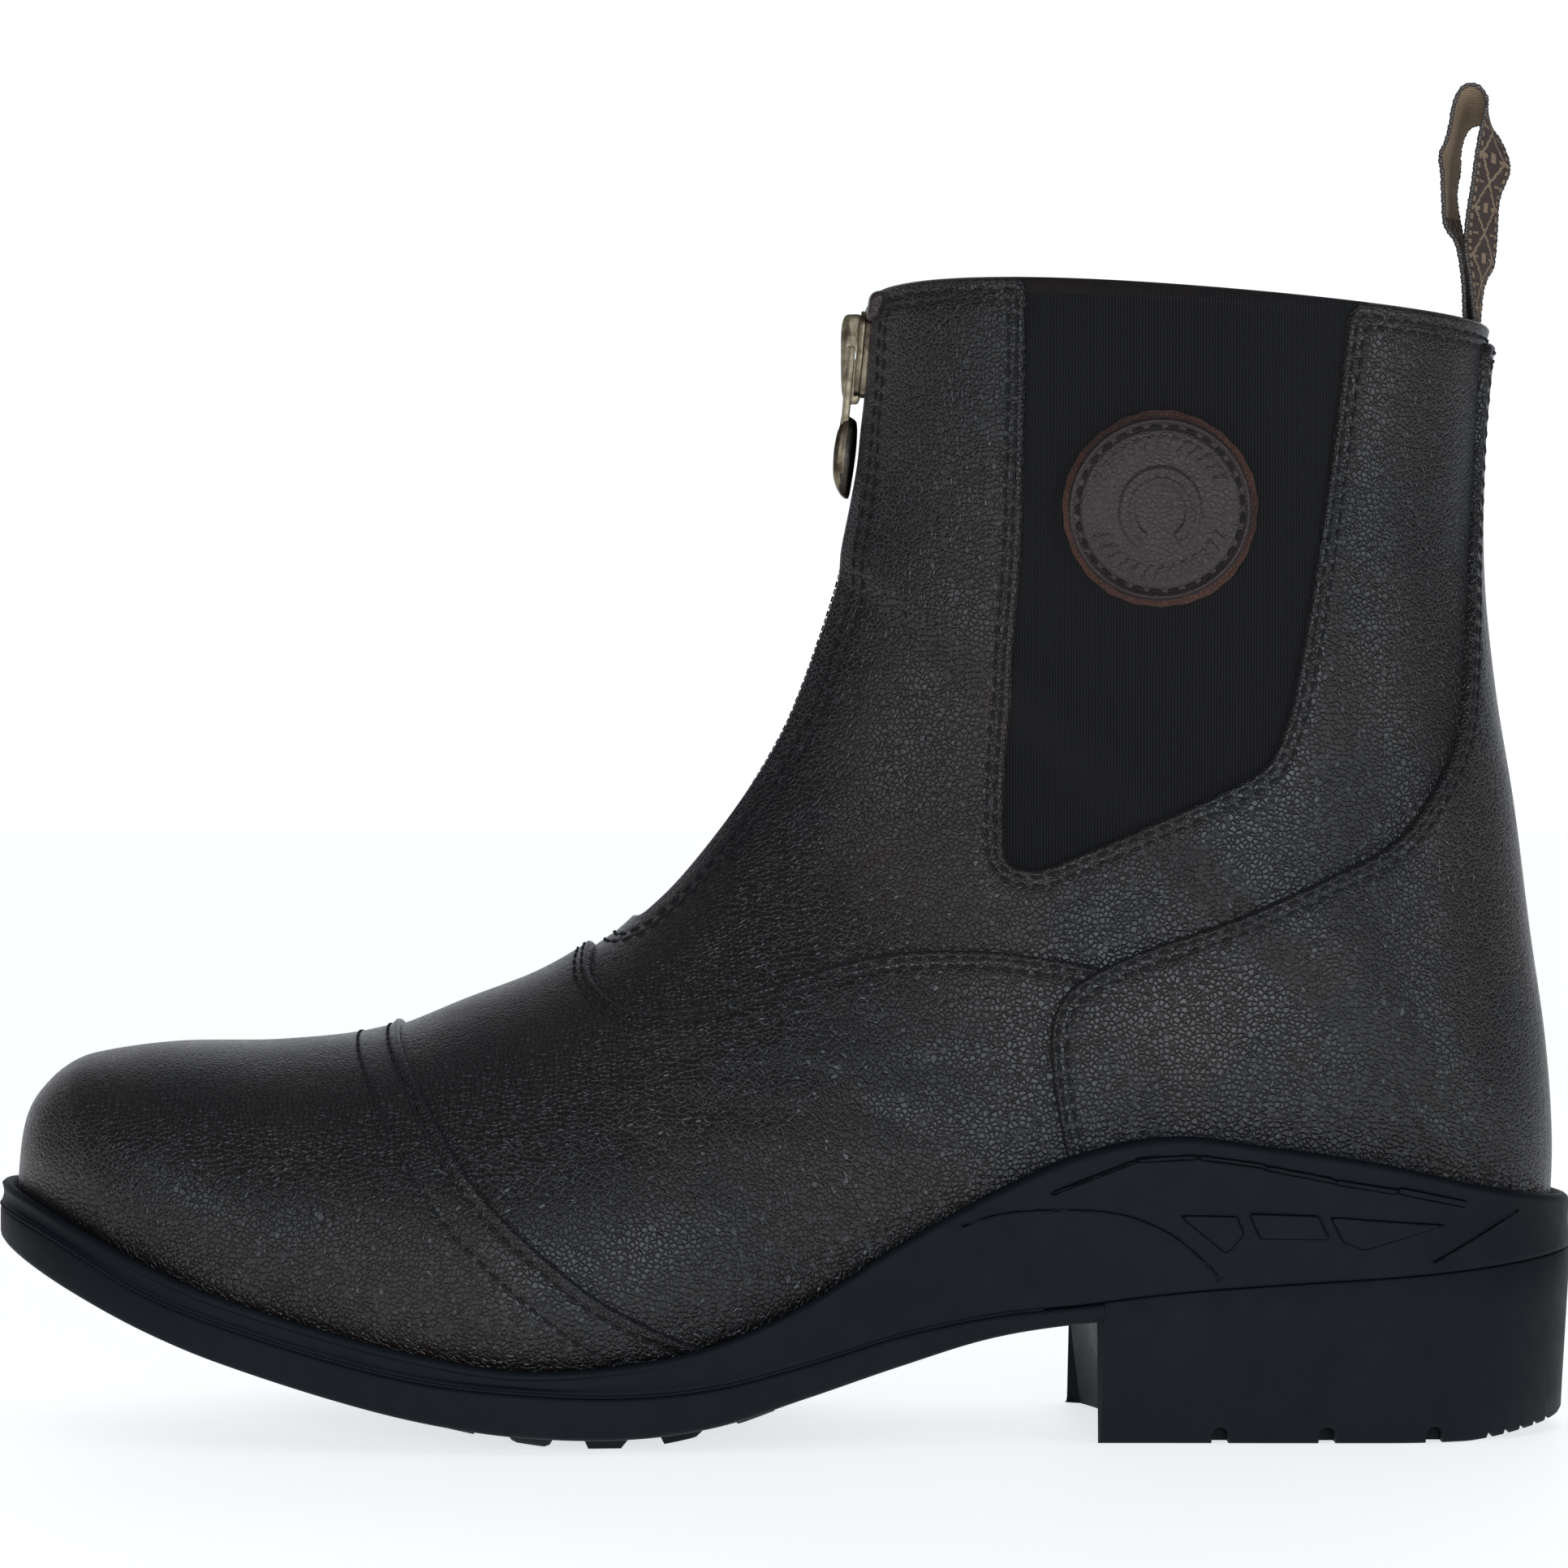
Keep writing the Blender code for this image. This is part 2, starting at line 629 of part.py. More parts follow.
def make_upper():
    """Hollow wall of quarters and lining, with both gore windows and the zip's slit."""
    upper = shell("upper", -WALL, 0.0, LEATHER)
    wide = BALL_WIDTH
    boolean(upper, prism("gore_windows", outline(GORE_EDGE), "Y", -wide, wide), "DIFFERENCE")
    slit = prism("zip_slit", outline(ZIP_REGION), "Y", -SLIT_WIDTH / 2, SLIT_WIDTH / 2)
    boolean(upper, slit, "DIFFERENCE")


def make_panels():
    """Toe cap, vamp and counter: walls over the upper, each within its side outline."""
    wide = BALL_WIDTH
    ahead = ((0.255, 0.45), (-0.05, 0.45), (-0.05, -0.05), (0.450, -0.05))
    cap = shell("toe_cap", GAP, GAP + CAP_OVERLAY, LEATHER)
    cap_outline = shrink(outline(ahead + CAP_EDGE[::-1]), GAP / 2)
    boolean(cap, prism("cap_outline", cap_outline, "Y", -wide, wide), "INTERSECT")
    vamp = shell("vamp", GAP, GAP + OVERLAY, LEATHER)
    side = CAP_EDGE + ((0.450, -0.05), (0.673, -0.05)) + COUNTER_FRONT + VAMP_EDGE[::-1]
    over = ((0.405, 0.500), (0.255, 0.450))
    vamp_outline = shrink(outline(side + over), GAP / 2)
    boolean(vamp, prism("vamp_outline", vamp_outline, "Y", -wide, wide), "INTERSECT")
    counter = shell("counter", GAP, GAP + OVERLAY, LEATHER)
    behind = ((1.05, 0.955), (1.05, -0.05), (0.673, -0.05))
    counter_outline = shrink(outline(COUNTER_FRONT + COUNTER_TOP + behind), GAP / 2)
    boolean(counter, prism("counter_outline", counter_outline, "Y", -wide, wide), "INTERSECT")


def make_gores():
    """Elastic panels standing in the windows of the upper's wall."""
    low = -(WALL + GORE_THICKNESS) / 2
    high = -(WALL - GORE_THICKNESS) / 2
    edge = shrink(outline(GORE_EDGE), GAP)
    wide = BALL_WIDTH
    middle = BALL_WIDTH * 0.1
    for name, first, last in (("gore_lateral", -wide, -middle), ("gore_medial", middle, wide)):
        gore = shell(name, low, high, ELASTIC)
        boolean(gore, prism(name + "_outline", edge, "Y", first, last), "INTERSECT")


def make_badge():
    """Round leather badge on the outer gore."""
    badge = shell("badge", -(WALL - GORE_THICKNESS) / 2 + GAP, GAP + OVERLAY, BADGE_LEATHER)
    centre = Vector((along(BADGE_AT[0]), -BALL_WIDTH / 2, up(BADGE_AT[1])))
    boolean(badge, round_cutter("badge_outline", centre), "INTERSECT")


def round_cutter(name, centre):
    """Cylinder of the badge's size along Y."""
    bm = bmesh.new()
    bmesh.ops.create_cone(
        bm, cap_ends=True, segments=40, radius1=BADGE_RADIUS, radius2=BADGE_RADIUS,
        depth=BALL_WIDTH * 0.9, matrix=Matrix.Translation(centre) @ Matrix.Rotation(math.pi / 2, 4, "X"),
    )
    return link(name, mesh_from(name, bm, smooth=False), None, cutters)


def front_line(z):
    """World X of the shaft's front line at a height."""
    rows = [(up(row[3]), along(row[2])) for row in SHAFT_SECTIONS]
    for (z0, x0), (z1, x1) in zip(rows, rows[1:]):
        if z0 <= z <= z1:
            return x0 + (x1 - x0) * (z - z0) / (z1 - z0)
    return rows[-1][1]


def make_zip():
    """Tape, chain and slider down the front, and the pull tab on the slider's bridge."""
    region = shrink(outline(ZIP_REGION), GAP)
    tape = shell("zip_tape", -WALL + 0.0001, -0.0011, TAPE)
    half = SLIT_WIDTH / 2 - GAP
    boolean(tape, prism("tape_outline", region, "Y", -half, half), "INTERSECT")
    chain = shell("zip_chain", -0.0008, -0.0002, BRASS)
    half = CHAIN_WIDTH / 2
    boolean(chain, prism("chain_outline", region, "Y", -half, half), "INTERSECT")
    make_slider()


def make_slider():
    """Slider plate with its bridge, and the tab hanging from a pin through the bridge."""
    z = up(SLIDER_UP)
    low = front_line(z - SLIDER_LENGTH / 2)
    high = front_line(z + SLIDER_LENGTH / 2)
    lean = math.atan((high - low) / SLIDER_LENGTH)
    out = Vector((-math.cos(lean), 0, math.sin(lean)))
    foot = Vector(((low + high) / 2, 0, z))
    plate_at = foot + out * (PLATE / 2 + GAP / 2)
    slider = boxes(
        "zip_slider", [(plate_at, (PLATE, SLIDER_WIDTH, SLIDER_LENGTH), lean, 0.0004)], parts, BRASS
    )
    pin = foot + out * (PLATE + GAP / 2 + BRIDGE / 2)
    bridge = [(pin - out * 0.0002, (BRIDGE + 0.0004, BRIDGE_WIDTH, BRIDGE_LENGTH), lean, 0.0003)]
    boolean(slider, boxes("bridge", bridge), "UNION")
    boolean(slider, rod("eye", pin, PIN_RADIUS + GAP, SLIDER_WIDTH), "DIFFERENCE")
    make_tab(pin)


def make_tab(pin):
    """Pull tab: two arms on a pin, a stem and a thick round end."""
    arm_width = 0.0009
    arm_y = BRIDGE_WIDTH / 2 + GAP + arm_width / 2
    span = 2 * arm_y + arm_width
    hub = bpy.data.objects.new("tab_hinge", None)
    hub.location = pin
    hub.rotation_euler = (0, TAB_LEAN, 0)
    parts.objects.link(hub)
    fork = BRIDGE_LENGTH / 2 + 0.0025
    stem_end = TAB_LENGTH - BULB_LENGTH + 0.0008
    items = []
    for side in (-1, 1):
        centre = (0, side * arm_y, (0.0008 - fork - 0.0010) / 2)
        items.append((centre, (TAB_THICKNESS, arm_width, fork + 0.0018), 0.0, 0.0))
    tab = boxes("zip_pull_tab", items[:1], parts, BRASS)
    pieces = [
        boxes("second_arm", items[1:]),
        boxes("stem", [((0, 0, -(fork + stem_end) / 2), (TAB_THICKNESS, span, stem_end - fork), 0.0, 0.0)]),
        boxes("bulb", [(
            (0, 0, -TAB_LENGTH + BULB_LENGTH / 2), (BULB_THICKNESS, TAB_WIDTH, BULB_LENGTH), 0.0, 0.0010,
        )]),
        rod("pin", Vector(), PIN_RADIUS, span - 0.0004),
    ]
    for thing in [tab] + pieces:
        thing.parent = hub
    for piece in pieces:
        boolean(tab, piece, "UNION")


def loop_path():
    """Places of the pull loop's folded tape: x across its opening, height over its foot."""
    stem = (TAPE_THICKNESS + GAP) / 2
    half = (LOOP_SPREAD - TAPE_THICKNESS) / 2
    rise = (
        (0.00, stem), (0.16, stem), (0.30, stem * 1.05), (0.40, half * 0.45), (0.52, half * 0.85),
        (0.66, half), (0.80, half * 0.93), (0.91, half * 0.70), (0.98, half * 0.34),
    )
    height = LOOP_HEIGHT + LOOP_FOOT - TAPE_THICKNESS / 2
    points = [(x, share * height) for share, x in rise]
    points.append((0.0, height))
    points += [(-x, z) for x, z in points[-2::-1]]
    return points


def make_loop():
    """Pull loop: tape folded in two, turned as it rises out of the back of the collar."""
    foot = Vector((along(LOOP_AT), 0, up(1.0) - LOOP_FOOT))
    path = loop_path()
    bm = bmesh.new()
    rows = []
    top = max(z for x, z in path)
    for i, (x, z) in enumerate(path):
        before = Vector(path[max(i - 1, 0)])
        after = Vector(path[min(i + 1, len(path) - 1)])
        run = (after - before).normalized()
        side = Vector((run.y, -run.x))
        turn = LOOP_TWIST * min(1.0, max(0.0, (z / top - 0.25) / 0.25))
        spin = Matrix.Rotation(turn, 3, "Z")
        row = []
        for across, width in ((1, -1), (1, 1), (-1, 1), (-1, -1)):
            flat = Vector((x, z)) + side * across * TAPE_THICKNESS / 2
            place = spin @ Vector((flat.x, width * TAPE_WIDTH / 2, flat.y))
            row.append(bm.verts.new(foot + place))
        rows.append(row)
    for low, high in zip(rows, rows[1:]):
        for j in range(4):
            k = (j + 1) % 4
            bm.faces.new((low[j], low[k], high[k], high[j]))
    bm.faces.new(rows[0])
    bm.faces.new(rows[-1])
    link("pull_loop", mesh_from("pull_loop", bm), WEBBING)


make_sole()
make_outsole()
make_heel()
make_insole()
make_upper()
make_panels()
make_gores()
make_badge()
make_zip()
make_loop()
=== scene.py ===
# %% [markdown]
# Paddock boot, dressed.
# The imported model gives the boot's real solids. This lesson lays fine leather, elastic, rubber,
# brass and woven tape over them, each made the way the real piece is made: cut, folded and sewn.

# %% Frame
import math

import bmesh
import bpy
import numpy as np
from mathutils import Matrix, Vector
from mathutils.bvhtree import BVHTree
from mathutils.kdtree import KDTree


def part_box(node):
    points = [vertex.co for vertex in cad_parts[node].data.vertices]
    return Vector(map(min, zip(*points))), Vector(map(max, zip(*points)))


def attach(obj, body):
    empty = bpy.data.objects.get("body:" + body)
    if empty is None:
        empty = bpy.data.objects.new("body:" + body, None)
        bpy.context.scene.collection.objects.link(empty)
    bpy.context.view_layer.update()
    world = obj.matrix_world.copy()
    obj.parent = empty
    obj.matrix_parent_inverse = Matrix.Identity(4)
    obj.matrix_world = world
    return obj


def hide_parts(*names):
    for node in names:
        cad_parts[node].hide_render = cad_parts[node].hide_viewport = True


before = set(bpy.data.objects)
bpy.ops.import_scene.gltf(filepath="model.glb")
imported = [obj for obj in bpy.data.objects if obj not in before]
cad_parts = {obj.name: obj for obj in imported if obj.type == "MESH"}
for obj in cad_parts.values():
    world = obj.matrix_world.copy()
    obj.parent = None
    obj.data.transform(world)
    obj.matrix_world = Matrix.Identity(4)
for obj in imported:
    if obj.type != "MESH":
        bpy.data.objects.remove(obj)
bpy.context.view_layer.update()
print("pieces in the frame:", sorted(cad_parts))

# %% [markdown]
# The boot stands with its toe to -X, its heel to +X and its outer side to -Y, the side that the
# camera sees. All sizes are in metres. Lengths along the foot are shares of the sole's length, and
# heights are shares of the sole's or the collar's height, as a pattern cutter grades a boot.

# %% Sizes
MM = 0.001
TOE_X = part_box("sole_unit")[0][0]
SOLE_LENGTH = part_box("sole_unit")[1][0] - TOE_X
SOLE_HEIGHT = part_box("sole_unit")[1][2]
COLLAR_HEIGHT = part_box("upper")[1][2]
BALL_WIDTH = 97.5 * MM
COLLAR_WIDTH = 66 * MM
WALL = 2.0 * MM
STAND = 5.3 * MM
TOE_ROUND = 0.150
HEEL_ROUND = 0.125
FEATHER = 0.92
print("sole", round(SOLE_LENGTH, 4), "collar", round(COLLAR_HEIGHT, 4))


def along(share):
    """World X of a share of the sole's length from the toe's tip."""
    return TOE_X + share * SOLE_LENGTH


def up(share):
    """World Z of a share of the collar's height."""
    return share * COLLAR_HEIGHT


# %% [markdown]
# A finish is a small tree of shader nodes. Every finish here starts from the same few moves: a
# place on the piece, noise or cells at the real size of the grain, a colour ramp between two
# measured tones, and bump. Helpers keep each finish short enough to read.

# %% Finish helpers
def new_finish(name, roughness, metallic=0.0):
    """Starts a finish: returns its material, node tree and shader."""
    finish = bpy.data.materials.new(name)
    finish.use_nodes = True
    tree = finish.node_tree
    shader = tree.nodes["Principled BSDF"]
    shader.inputs["Roughness"].default_value = roughness
    shader.inputs["Metallic"].default_value = metallic
    return finish, tree, shader


def place(tree):
    """The piece's own coordinates, in metres."""
    return tree.nodes.new("ShaderNodeTexCoord").outputs["Object"]


def noise(tree, scale, detail=3.0, roughness=0.55):
    """Soft noise with so many blotches to the metre."""
    node = tree.nodes.new("ShaderNodeTexNoise")
    node.inputs["Scale"].default_value = scale
    node.inputs["Detail"].default_value = detail
    node.inputs["Roughness"].default_value = roughness
    tree.links.new(place(tree), node.inputs["Vector"])
    return node.outputs["Fac"]


def cells(tree, scale, feature="F1"):
    """Distance to the nearest of many scattered cells, or to the cracks between them."""
    node = tree.nodes.new("ShaderNodeTexVoronoi")
    node.feature = feature
    node.inputs["Scale"].default_value = scale
    tree.links.new(place(tree), node.inputs["Vector"])
    return node.outputs["Distance"]


def long_noise(tree, stretch, scale, detail=3.0):
    """Soft noise drawn out along a direction, for wrinkles."""
    node = tree.nodes.new("ShaderNodeTexNoise")
    node.inputs["Scale"].default_value = scale
    node.inputs["Detail"].default_value = detail
    turned = tree.nodes.new("ShaderNodeMapping")
    turned.inputs["Scale"].default_value = stretch
    turned.inputs["Rotation"].default_value = (0.0, 0.35, 0.0)
    tree.links.new(place(tree), turned.inputs["Vector"])
    tree.links.new(turned.outputs["Vector"], node.inputs["Vector"])
    return node.outputs["Fac"]


def ramp(tree, value, low, high, start=0.35, end=0.65):
    """Colour ramp between two tones."""
    node = tree.nodes.new("ShaderNodeValToRGB")
    node.color_ramp.elements[0].position = start
    node.color_ramp.elements[0].color = (*low, 1.0)
    node.color_ramp.elements[1].position = end
    node.color_ramp.elements[1].color = (*high, 1.0)
    tree.links.new(value, node.inputs["Fac"])
    return node.outputs["Color"]


def mix(tree, factor, first, second, kind="MIX"):
    """Mixes two colours by a value or a number."""
    node = tree.nodes.new("ShaderNodeMix")
    node.data_type = "RGBA"
    node.blend_type = kind
    for socket, value in (("Factor", factor), ("A", first), ("B", second)):
        index = {"Factor": 0, "A": 6, "B": 7}[socket]
        if isinstance(value, (int, float)):
            node.inputs[index].default_value = value
        elif isinstance(value, tuple):
            node.inputs[index].default_value = (*value, 1.0)
        else:
            tree.links.new(value, node.inputs[index])
    return node.outputs[2]


def sums(tree, operation, first, second):
    """Arithmetic between two values."""
    node = tree.nodes.new("ShaderNodeMath")
    node.operation = operation
    for index, value in enumerate((first, second)):
        if isinstance(value, (int, float)):
            node.inputs[index].default_value = value
        else:
            tree.links.new(value, node.inputs[index])
    return node.outputs[0]


def spread(tree, value, low, high):
    """Maps a value of 0 to 1 onto another range."""
    node = tree.nodes.new("ShaderNodeMapRange")
    node.inputs["To Min"].default_value = low
    node.inputs["To Max"].default_value = high
    tree.links.new(value, node.inputs["Value"])
    return node.outputs["Result"]


def bump(tree, shader, height, distance, strength=1.0, under=None):
    """Adds relief of a real depth to a shader, over an earlier relief."""
    node = tree.nodes.new("ShaderNodeBump")
    node.inputs["Distance"].default_value = distance
    node.inputs["Strength"].default_value = strength
    tree.links.new(height, node.inputs["Height"])
    if under is not None:
        tree.links.new(under, node.inputs["Normal"])
    tree.links.new(node.outputs["Normal"], shader.inputs["Normal"])
    return node.outputs["Normal"]


# %% [markdown]
# The leather is a coated one: nearly black brown, with a soft cool sheen. Its grain is a net of
# very fine cracks, 1 mm apart, which shows only where light glances off, and its colour is painted
# darker along the cracks as painted shade. Long faint wrinkles lie along the foot. Reddish patches
# show where the coat is thin.

# %% Leather
DARK_BROWN = (0.0050, 0.0040, 0.0037)
WARM_BROWN = (0.0160, 0.0088, 0.0066)


def leather(name, dark=DARK_BROWN, warm=WARM_BROWN, grain=1.0, gloss=0.35):
    """Coated leather with a fine net of cracks, painted darker along them as painted shade."""
    finish, tree, shader = new_finish(name, gloss)
    patches = noise(tree, 26.0, 3.0)
    net = cells(tree, 1100.0, "DISTANCE_TO_EDGE")
    cracks = sums(tree, "MINIMUM", sums(tree, "MULTIPLY", net, 5.0), 1.0)
    wrinkles = noise(tree, 620.0, 4.0, 0.6)
    folds = long_noise(tree, (0.30, 1.0, 1.0), 105.0, 3.0)
    base = ramp(tree, patches, dark, warm, 0.46, 0.74)
    # Painted shade: the base colour is darkened by up to a fifth along the cracks.
    painted_shade = ramp(tree, cracks, (0.6, 0.6, 0.6), (1, 1, 1), 0.0, 1.0)
    tree.links.new(mix(tree, 0.5, base, painted_shade, "MULTIPLY"), shader.inputs["Base Color"])
    rough = spread(tree, noise(tree, 60.0, 5.0), gloss - 0.08, gloss + 0.10)
    tree.links.new(rough, shader.inputs["Roughness"])
    shader.inputs["Specular IOR Level"].default_value = 0.42
    shader.inputs["Sheen Weight"].default_value = 0.04
    shader.inputs["Sheen Roughness"].default_value = 0.5
    shader.inputs["Sheen Tint"].default_value = (0.75, 0.82, 1.0, 1.0)
    soft = bump(tree, shader, folds, 0.5 * MM * grain, 0.45)
    fine = bump(tree, shader, wrinkles, 0.075 * MM * grain, 0.6, soft)
    bump(tree, shader, cracks, 0.115 * MM * grain, 1.0, fine)
    return finish


LEATHER = leather("brown_leather")
print("leather ready")

# %% [markdown]
# The sole is a blue-black rubber with a moulded texture so fine that it reads as a matte bloom.
# The elastic is a close ribbed knit: its ribs run down the shaft, a rib every half millimetre, and
# its colour is painted darker between the ribs and lighter on them, as painted shade and highlight.

# %% Rubber and elastic
def rubber(name, painted_shade=1.0):
    """Matte moulded rubber; a shade factor under 1 makes a darker, duller copy as painted shade."""
    finish, tree, shader = new_finish(name, 0.60)
    low = tuple(painted_shade * value for value in (0.0026, 0.0042, 0.0064))
    high = tuple(painted_shade * value for value in (0.0042, 0.0064, 0.0096))
    tree.links.new(ramp(tree, noise(tree, 45.0, 5.0), low, high, 0.3, 0.7), shader.inputs["Base Color"])
    tree.links.new(spread(tree, noise(tree, 250.0, 3.0), 0.50, 0.70), shader.inputs["Roughness"])
    shader.inputs["Specular IOR Level"].default_value = 0.14 * painted_shade
    coarse = bump(tree, shader, noise(tree, 420.0, 3.0), 0.10 * MM, 0.4)
    bump(tree, shader, noise(tree, 2600.0, 2.0), 0.08 * MM, 0.6, coarse)
    return finish


def ribs(tree, direction, pitch):
    """Even ribs across a direction, from 0 to 1."""
    split = tree.nodes.new("ShaderNodeSeparateXYZ")
    tree.links.new(place(tree), split.inputs[0])
    angle = sums(tree, "MULTIPLY", split.outputs[direction], 2 * math.pi / pitch)
    return sums(tree, "ABSOLUTE", sums(tree, "SINE", angle, 0.0), 0.0)


def elastic(name, dark, light, pitch=1.05 * MM):
    """Ribbed elastic knit, painted darker between its ribs and lighter on them."""
    finish, tree, shader = new_finish(name, 0.85)
    shader.inputs["Specular IOR Level"].default_value = 0.16
    rib = ribs(tree, 0, pitch)
    rows = ribs(tree, 2, 0.8 * MM)
    weave = sums(tree, "MULTIPLY", rib, spread(tree, rows, 0.7, 1.0))
    # Painted shade and highlight: the colour follows the ribs' height, dark in the hollows, light on top.
    tree.links.new(ramp(tree, weave, dark, light, 0.1, 0.9), shader.inputs["Base Color"])
    shader.inputs["Sheen Weight"].default_value = 0.10
    shader.inputs["Sheen Roughness"].default_value = 0.4
    under = bump(tree, shader, weave, 0.25 * MM, 0.9)
    bump(tree, shader, noise(tree, 3000.0, 2.0), 0.08 * MM, 0.5, under)
    return finish


RUBBER = rubber("sole_rubber")
# Painted shade: a darker, duller copy of the rubber for the moulded slopes and grooves.
RUBBER_PAINTED_SHADE = rubber("sole_rubber_painted_shade", 0.35)
ELASTIC = elastic("gore_elastic", (0.0022, 0.0022, 0.0028), (0.0125, 0.0120, 0.0130))
HEM = elastic("gore_hem", (0.0060, 0.0040, 0.0036), (0.0160, 0.0110, 0.0095), 0.8 * MM)
print("rubber and elastic ready")

# %% [markdown]
# Thread, tape, sock, lining and brass close the list. The antique brass varies at random between
# a dark tone and a worn bright one, and its roughness varies too, which two sizes of noise give.

# %% Small finishes
def cloth(name, dark, light, pitch, roughness=0.85):
    """Plain weave or thread, its own two tones laid darker in the weave's gaps as painted shade."""
    finish, tree, shader = new_finish(name, roughness)
    across = ribs(tree, 1, pitch)
    down = ribs(tree, 2, pitch)
    weave = sums(tree, "MULTIPLY", across, down)
    # Partly painted shade: the two tones are the cloth's own colour, and the darker lies in the weave's gaps.
    tree.links.new(ramp(tree, weave, dark, light, 0.0, 1.0), shader.inputs["Base Color"])
    bump(tree, shader, weave, 0.15 * MM, 0.8)
    return finish


def brass(name, dark=(0.050, 0.038, 0.026), light=(0.21, 0.170, 0.115)):
    """Antique brass, its tone varying at random between a dark one and a bright one."""
    finish, tree, shader = new_finish(name, 0.34, 1.0)
    wear = noise(tree, 320.0, 5.0, 0.6)
    tone = ramp(tree, wear, dark, light, 0.32, 0.68)
    tree.links.new(tone, shader.inputs["Base Color"])
    tree.links.new(spread(tree, noise(tree, 700.0, 3.0), 0.24, 0.46), shader.inputs["Roughness"])
    bump(tree, shader, noise(tree, 1500.0, 3.0), 0.05 * MM, 0.4)
    return finish


THREAD = cloth("dark_thread", (0.0016, 0.0015, 0.0016), (0.0050, 0.0045, 0.0045), 0.35 * MM, 0.8)
ZIP_CLOTH = cloth("zip_tape_cloth", (0.0030, 0.0028, 0.0028), (0.0080, 0.0075, 0.0075), 0.8 * MM)
SOCK = cloth("insole_sock", (0.022, 0.016, 0.012), (0.050, 0.036, 0.027), 1.2 * MM)
LINING = cloth("lining_cloth", (0.010, 0.0085, 0.0075), (0.022, 0.018, 0.016), 0.9 * MM)
BRASS = brass("antique_brass")
# Painted shade: a darker copy of the brass, for the back half of the pull tab's grip.
BRASS_PAINTED_SHADE = brass("antique_brass_painted_shade", (0.020, 0.018, 0.016), (0.055, 0.048, 0.038))
print("small finishes ready")

# %% [markdown]
# A last gives a boot its form. Here the last is a set of sections: over the foot each one rises
# from the base edge to the ridge, and up the shaft each one is a ring from the back line to the
# front line. The tables hold places as shares, so the form follows the boot's sizes.

# %% The last's tables
SOLE_COLUMNS = ("at", "tread", "ledge", "rim", "bed", "outer", "inner")
SOLE_SECTIONS = np.array((
    (0.000, 0.627, 0.745, 0.824, 0.757, 0.369, 0.390),
    (0.029, 0.549, 0.693, 0.768, 0.674, 0.379, 0.405),
    (0.057, 0.478, 0.627, 0.700, 0.592, 0.390, 0.415),
    (0.100, 0.376, 0.509, 0.596, 0.487, 0.405, 0.436),
    (0.150, 0.277, 0.410, 0.493, 0.386, 0.429, 0.462),
    (0.221, 0.165, 0.300, 0.384, 0.285, 0.466, 0.494),
    (0.279, 0.094, 0.232, 0.313, 0.225, 0.492, 0.502),
    (0.336, 0.052, 0.199, 0.268, 0.195, 0.503, 0.487),
    (0.400, 0.041, 0.184, 0.283, 0.193, 0.490, 0.441),
    (0.457, 0.075, 0.208, 0.343, 0.225, 0.462, 0.385),
    (0.514, 0.161, 0.277, 0.472, 0.292, 0.421, 0.338),
    (0.571, 0.255, 0.363, 0.655, 0.386, 0.384, 0.316),
    (0.629, 0.343, 0.423, 0.820, 0.476, 0.361, 0.314),
    (0.686, 0.388, 0.455, 0.948, 0.547, 0.353, 0.326),
    (0.743, 0.403, 0.491, 1.000, 0.599, 0.353, 0.338),
    (0.800, 0.412, 0.515, 0.968, 0.633, 0.355, 0.345),
    (0.871, 0.431, 0.539, 0.912, 0.655, 0.355, 0.347),
    (0.936, 0.449, 0.567, 0.835, 0.670, 0.349, 0.343),
    (1.000, 0.468, 0.603, 0.777, 0.684, 0.343, 0.338),
))
FOOT_SECTIONS = (
    (0.000, 0.019, 0.194, 0.30, 2.3),
    (0.007, 0.019, 0.216, 0.30, 2.3),
    (0.018, 0.022, 0.256, 0.32, 2.4),
    (0.030, 0.026, 0.277, 0.31, 2.4),
    (0.046, 0.033, 0.292, 0.30, 2.4),
    (0.064, 0.045, 0.308, 0.29, 2.4),
    (0.085, 0.060, 0.318, 0.28, 2.4),
    (0.140, 0.111, 0.328, 0.26, 2.3),
    (0.203, 0.179, 0.330, 0.24, 2.2),
    (0.270, 0.243, 0.341, 0.22, 2.1),
    (0.333, 0.300, 0.371, 0.22, 2.0),
    (0.396, 0.346, 0.396, 0.24, 1.9),
    (0.470, 0.384, 0.428, 0.27, 1.85),
    (0.556, 0.421, 0.471, 0.30, 1.85),
    (0.649, 0.450, 0.519, 0.30, 1.9),
    (0.752, 0.475, 0.571, 0.28, 1.9),
    (0.856, 0.495, 0.620, 0.26, 1.95),
    (0.930, 0.507, 0.660, 0.26, 2.0),
    (0.979, 0.516, 0.695, 0.28, 2.0),
    (0.995, 0.523, 0.724, 0.29, 2.0),
    (1.000, 0.529, 0.752, 0.31, 2.0),
)
SHAFT_SECTIONS = (
    (0.984, 0.248, 0.533, 0.779, 0.462, 0.34),
    (0.980, 0.337, 0.539, 0.819, 0.455, 0.38),
    (0.970, 0.437, 0.544, 0.854, 0.462, 0.42),
    (0.960, 0.546, 0.547, 0.888, 0.477, 0.45),
    (0.948, 0.650, 0.550, 0.923, 0.485, 0.47),
    (0.941, 0.754, 0.552, 0.953, 0.492, 0.49),
    (0.942, 0.864, 0.554, 0.978, 0.500, 0.50),
    (0.949, 0.970, 0.556, 1.000, 0.500, 0.50),
)
print(len(FOOT_SECTIONS), "foot sections and", len(SHAFT_SECTIONS), "shaft rings")


# %% [markdown]
# A smooth curve through table rows is a cubic between each two of them, with the slope at a row
# taken from its neighbours. The same helper smooths the sole's lines and the upper's sections.

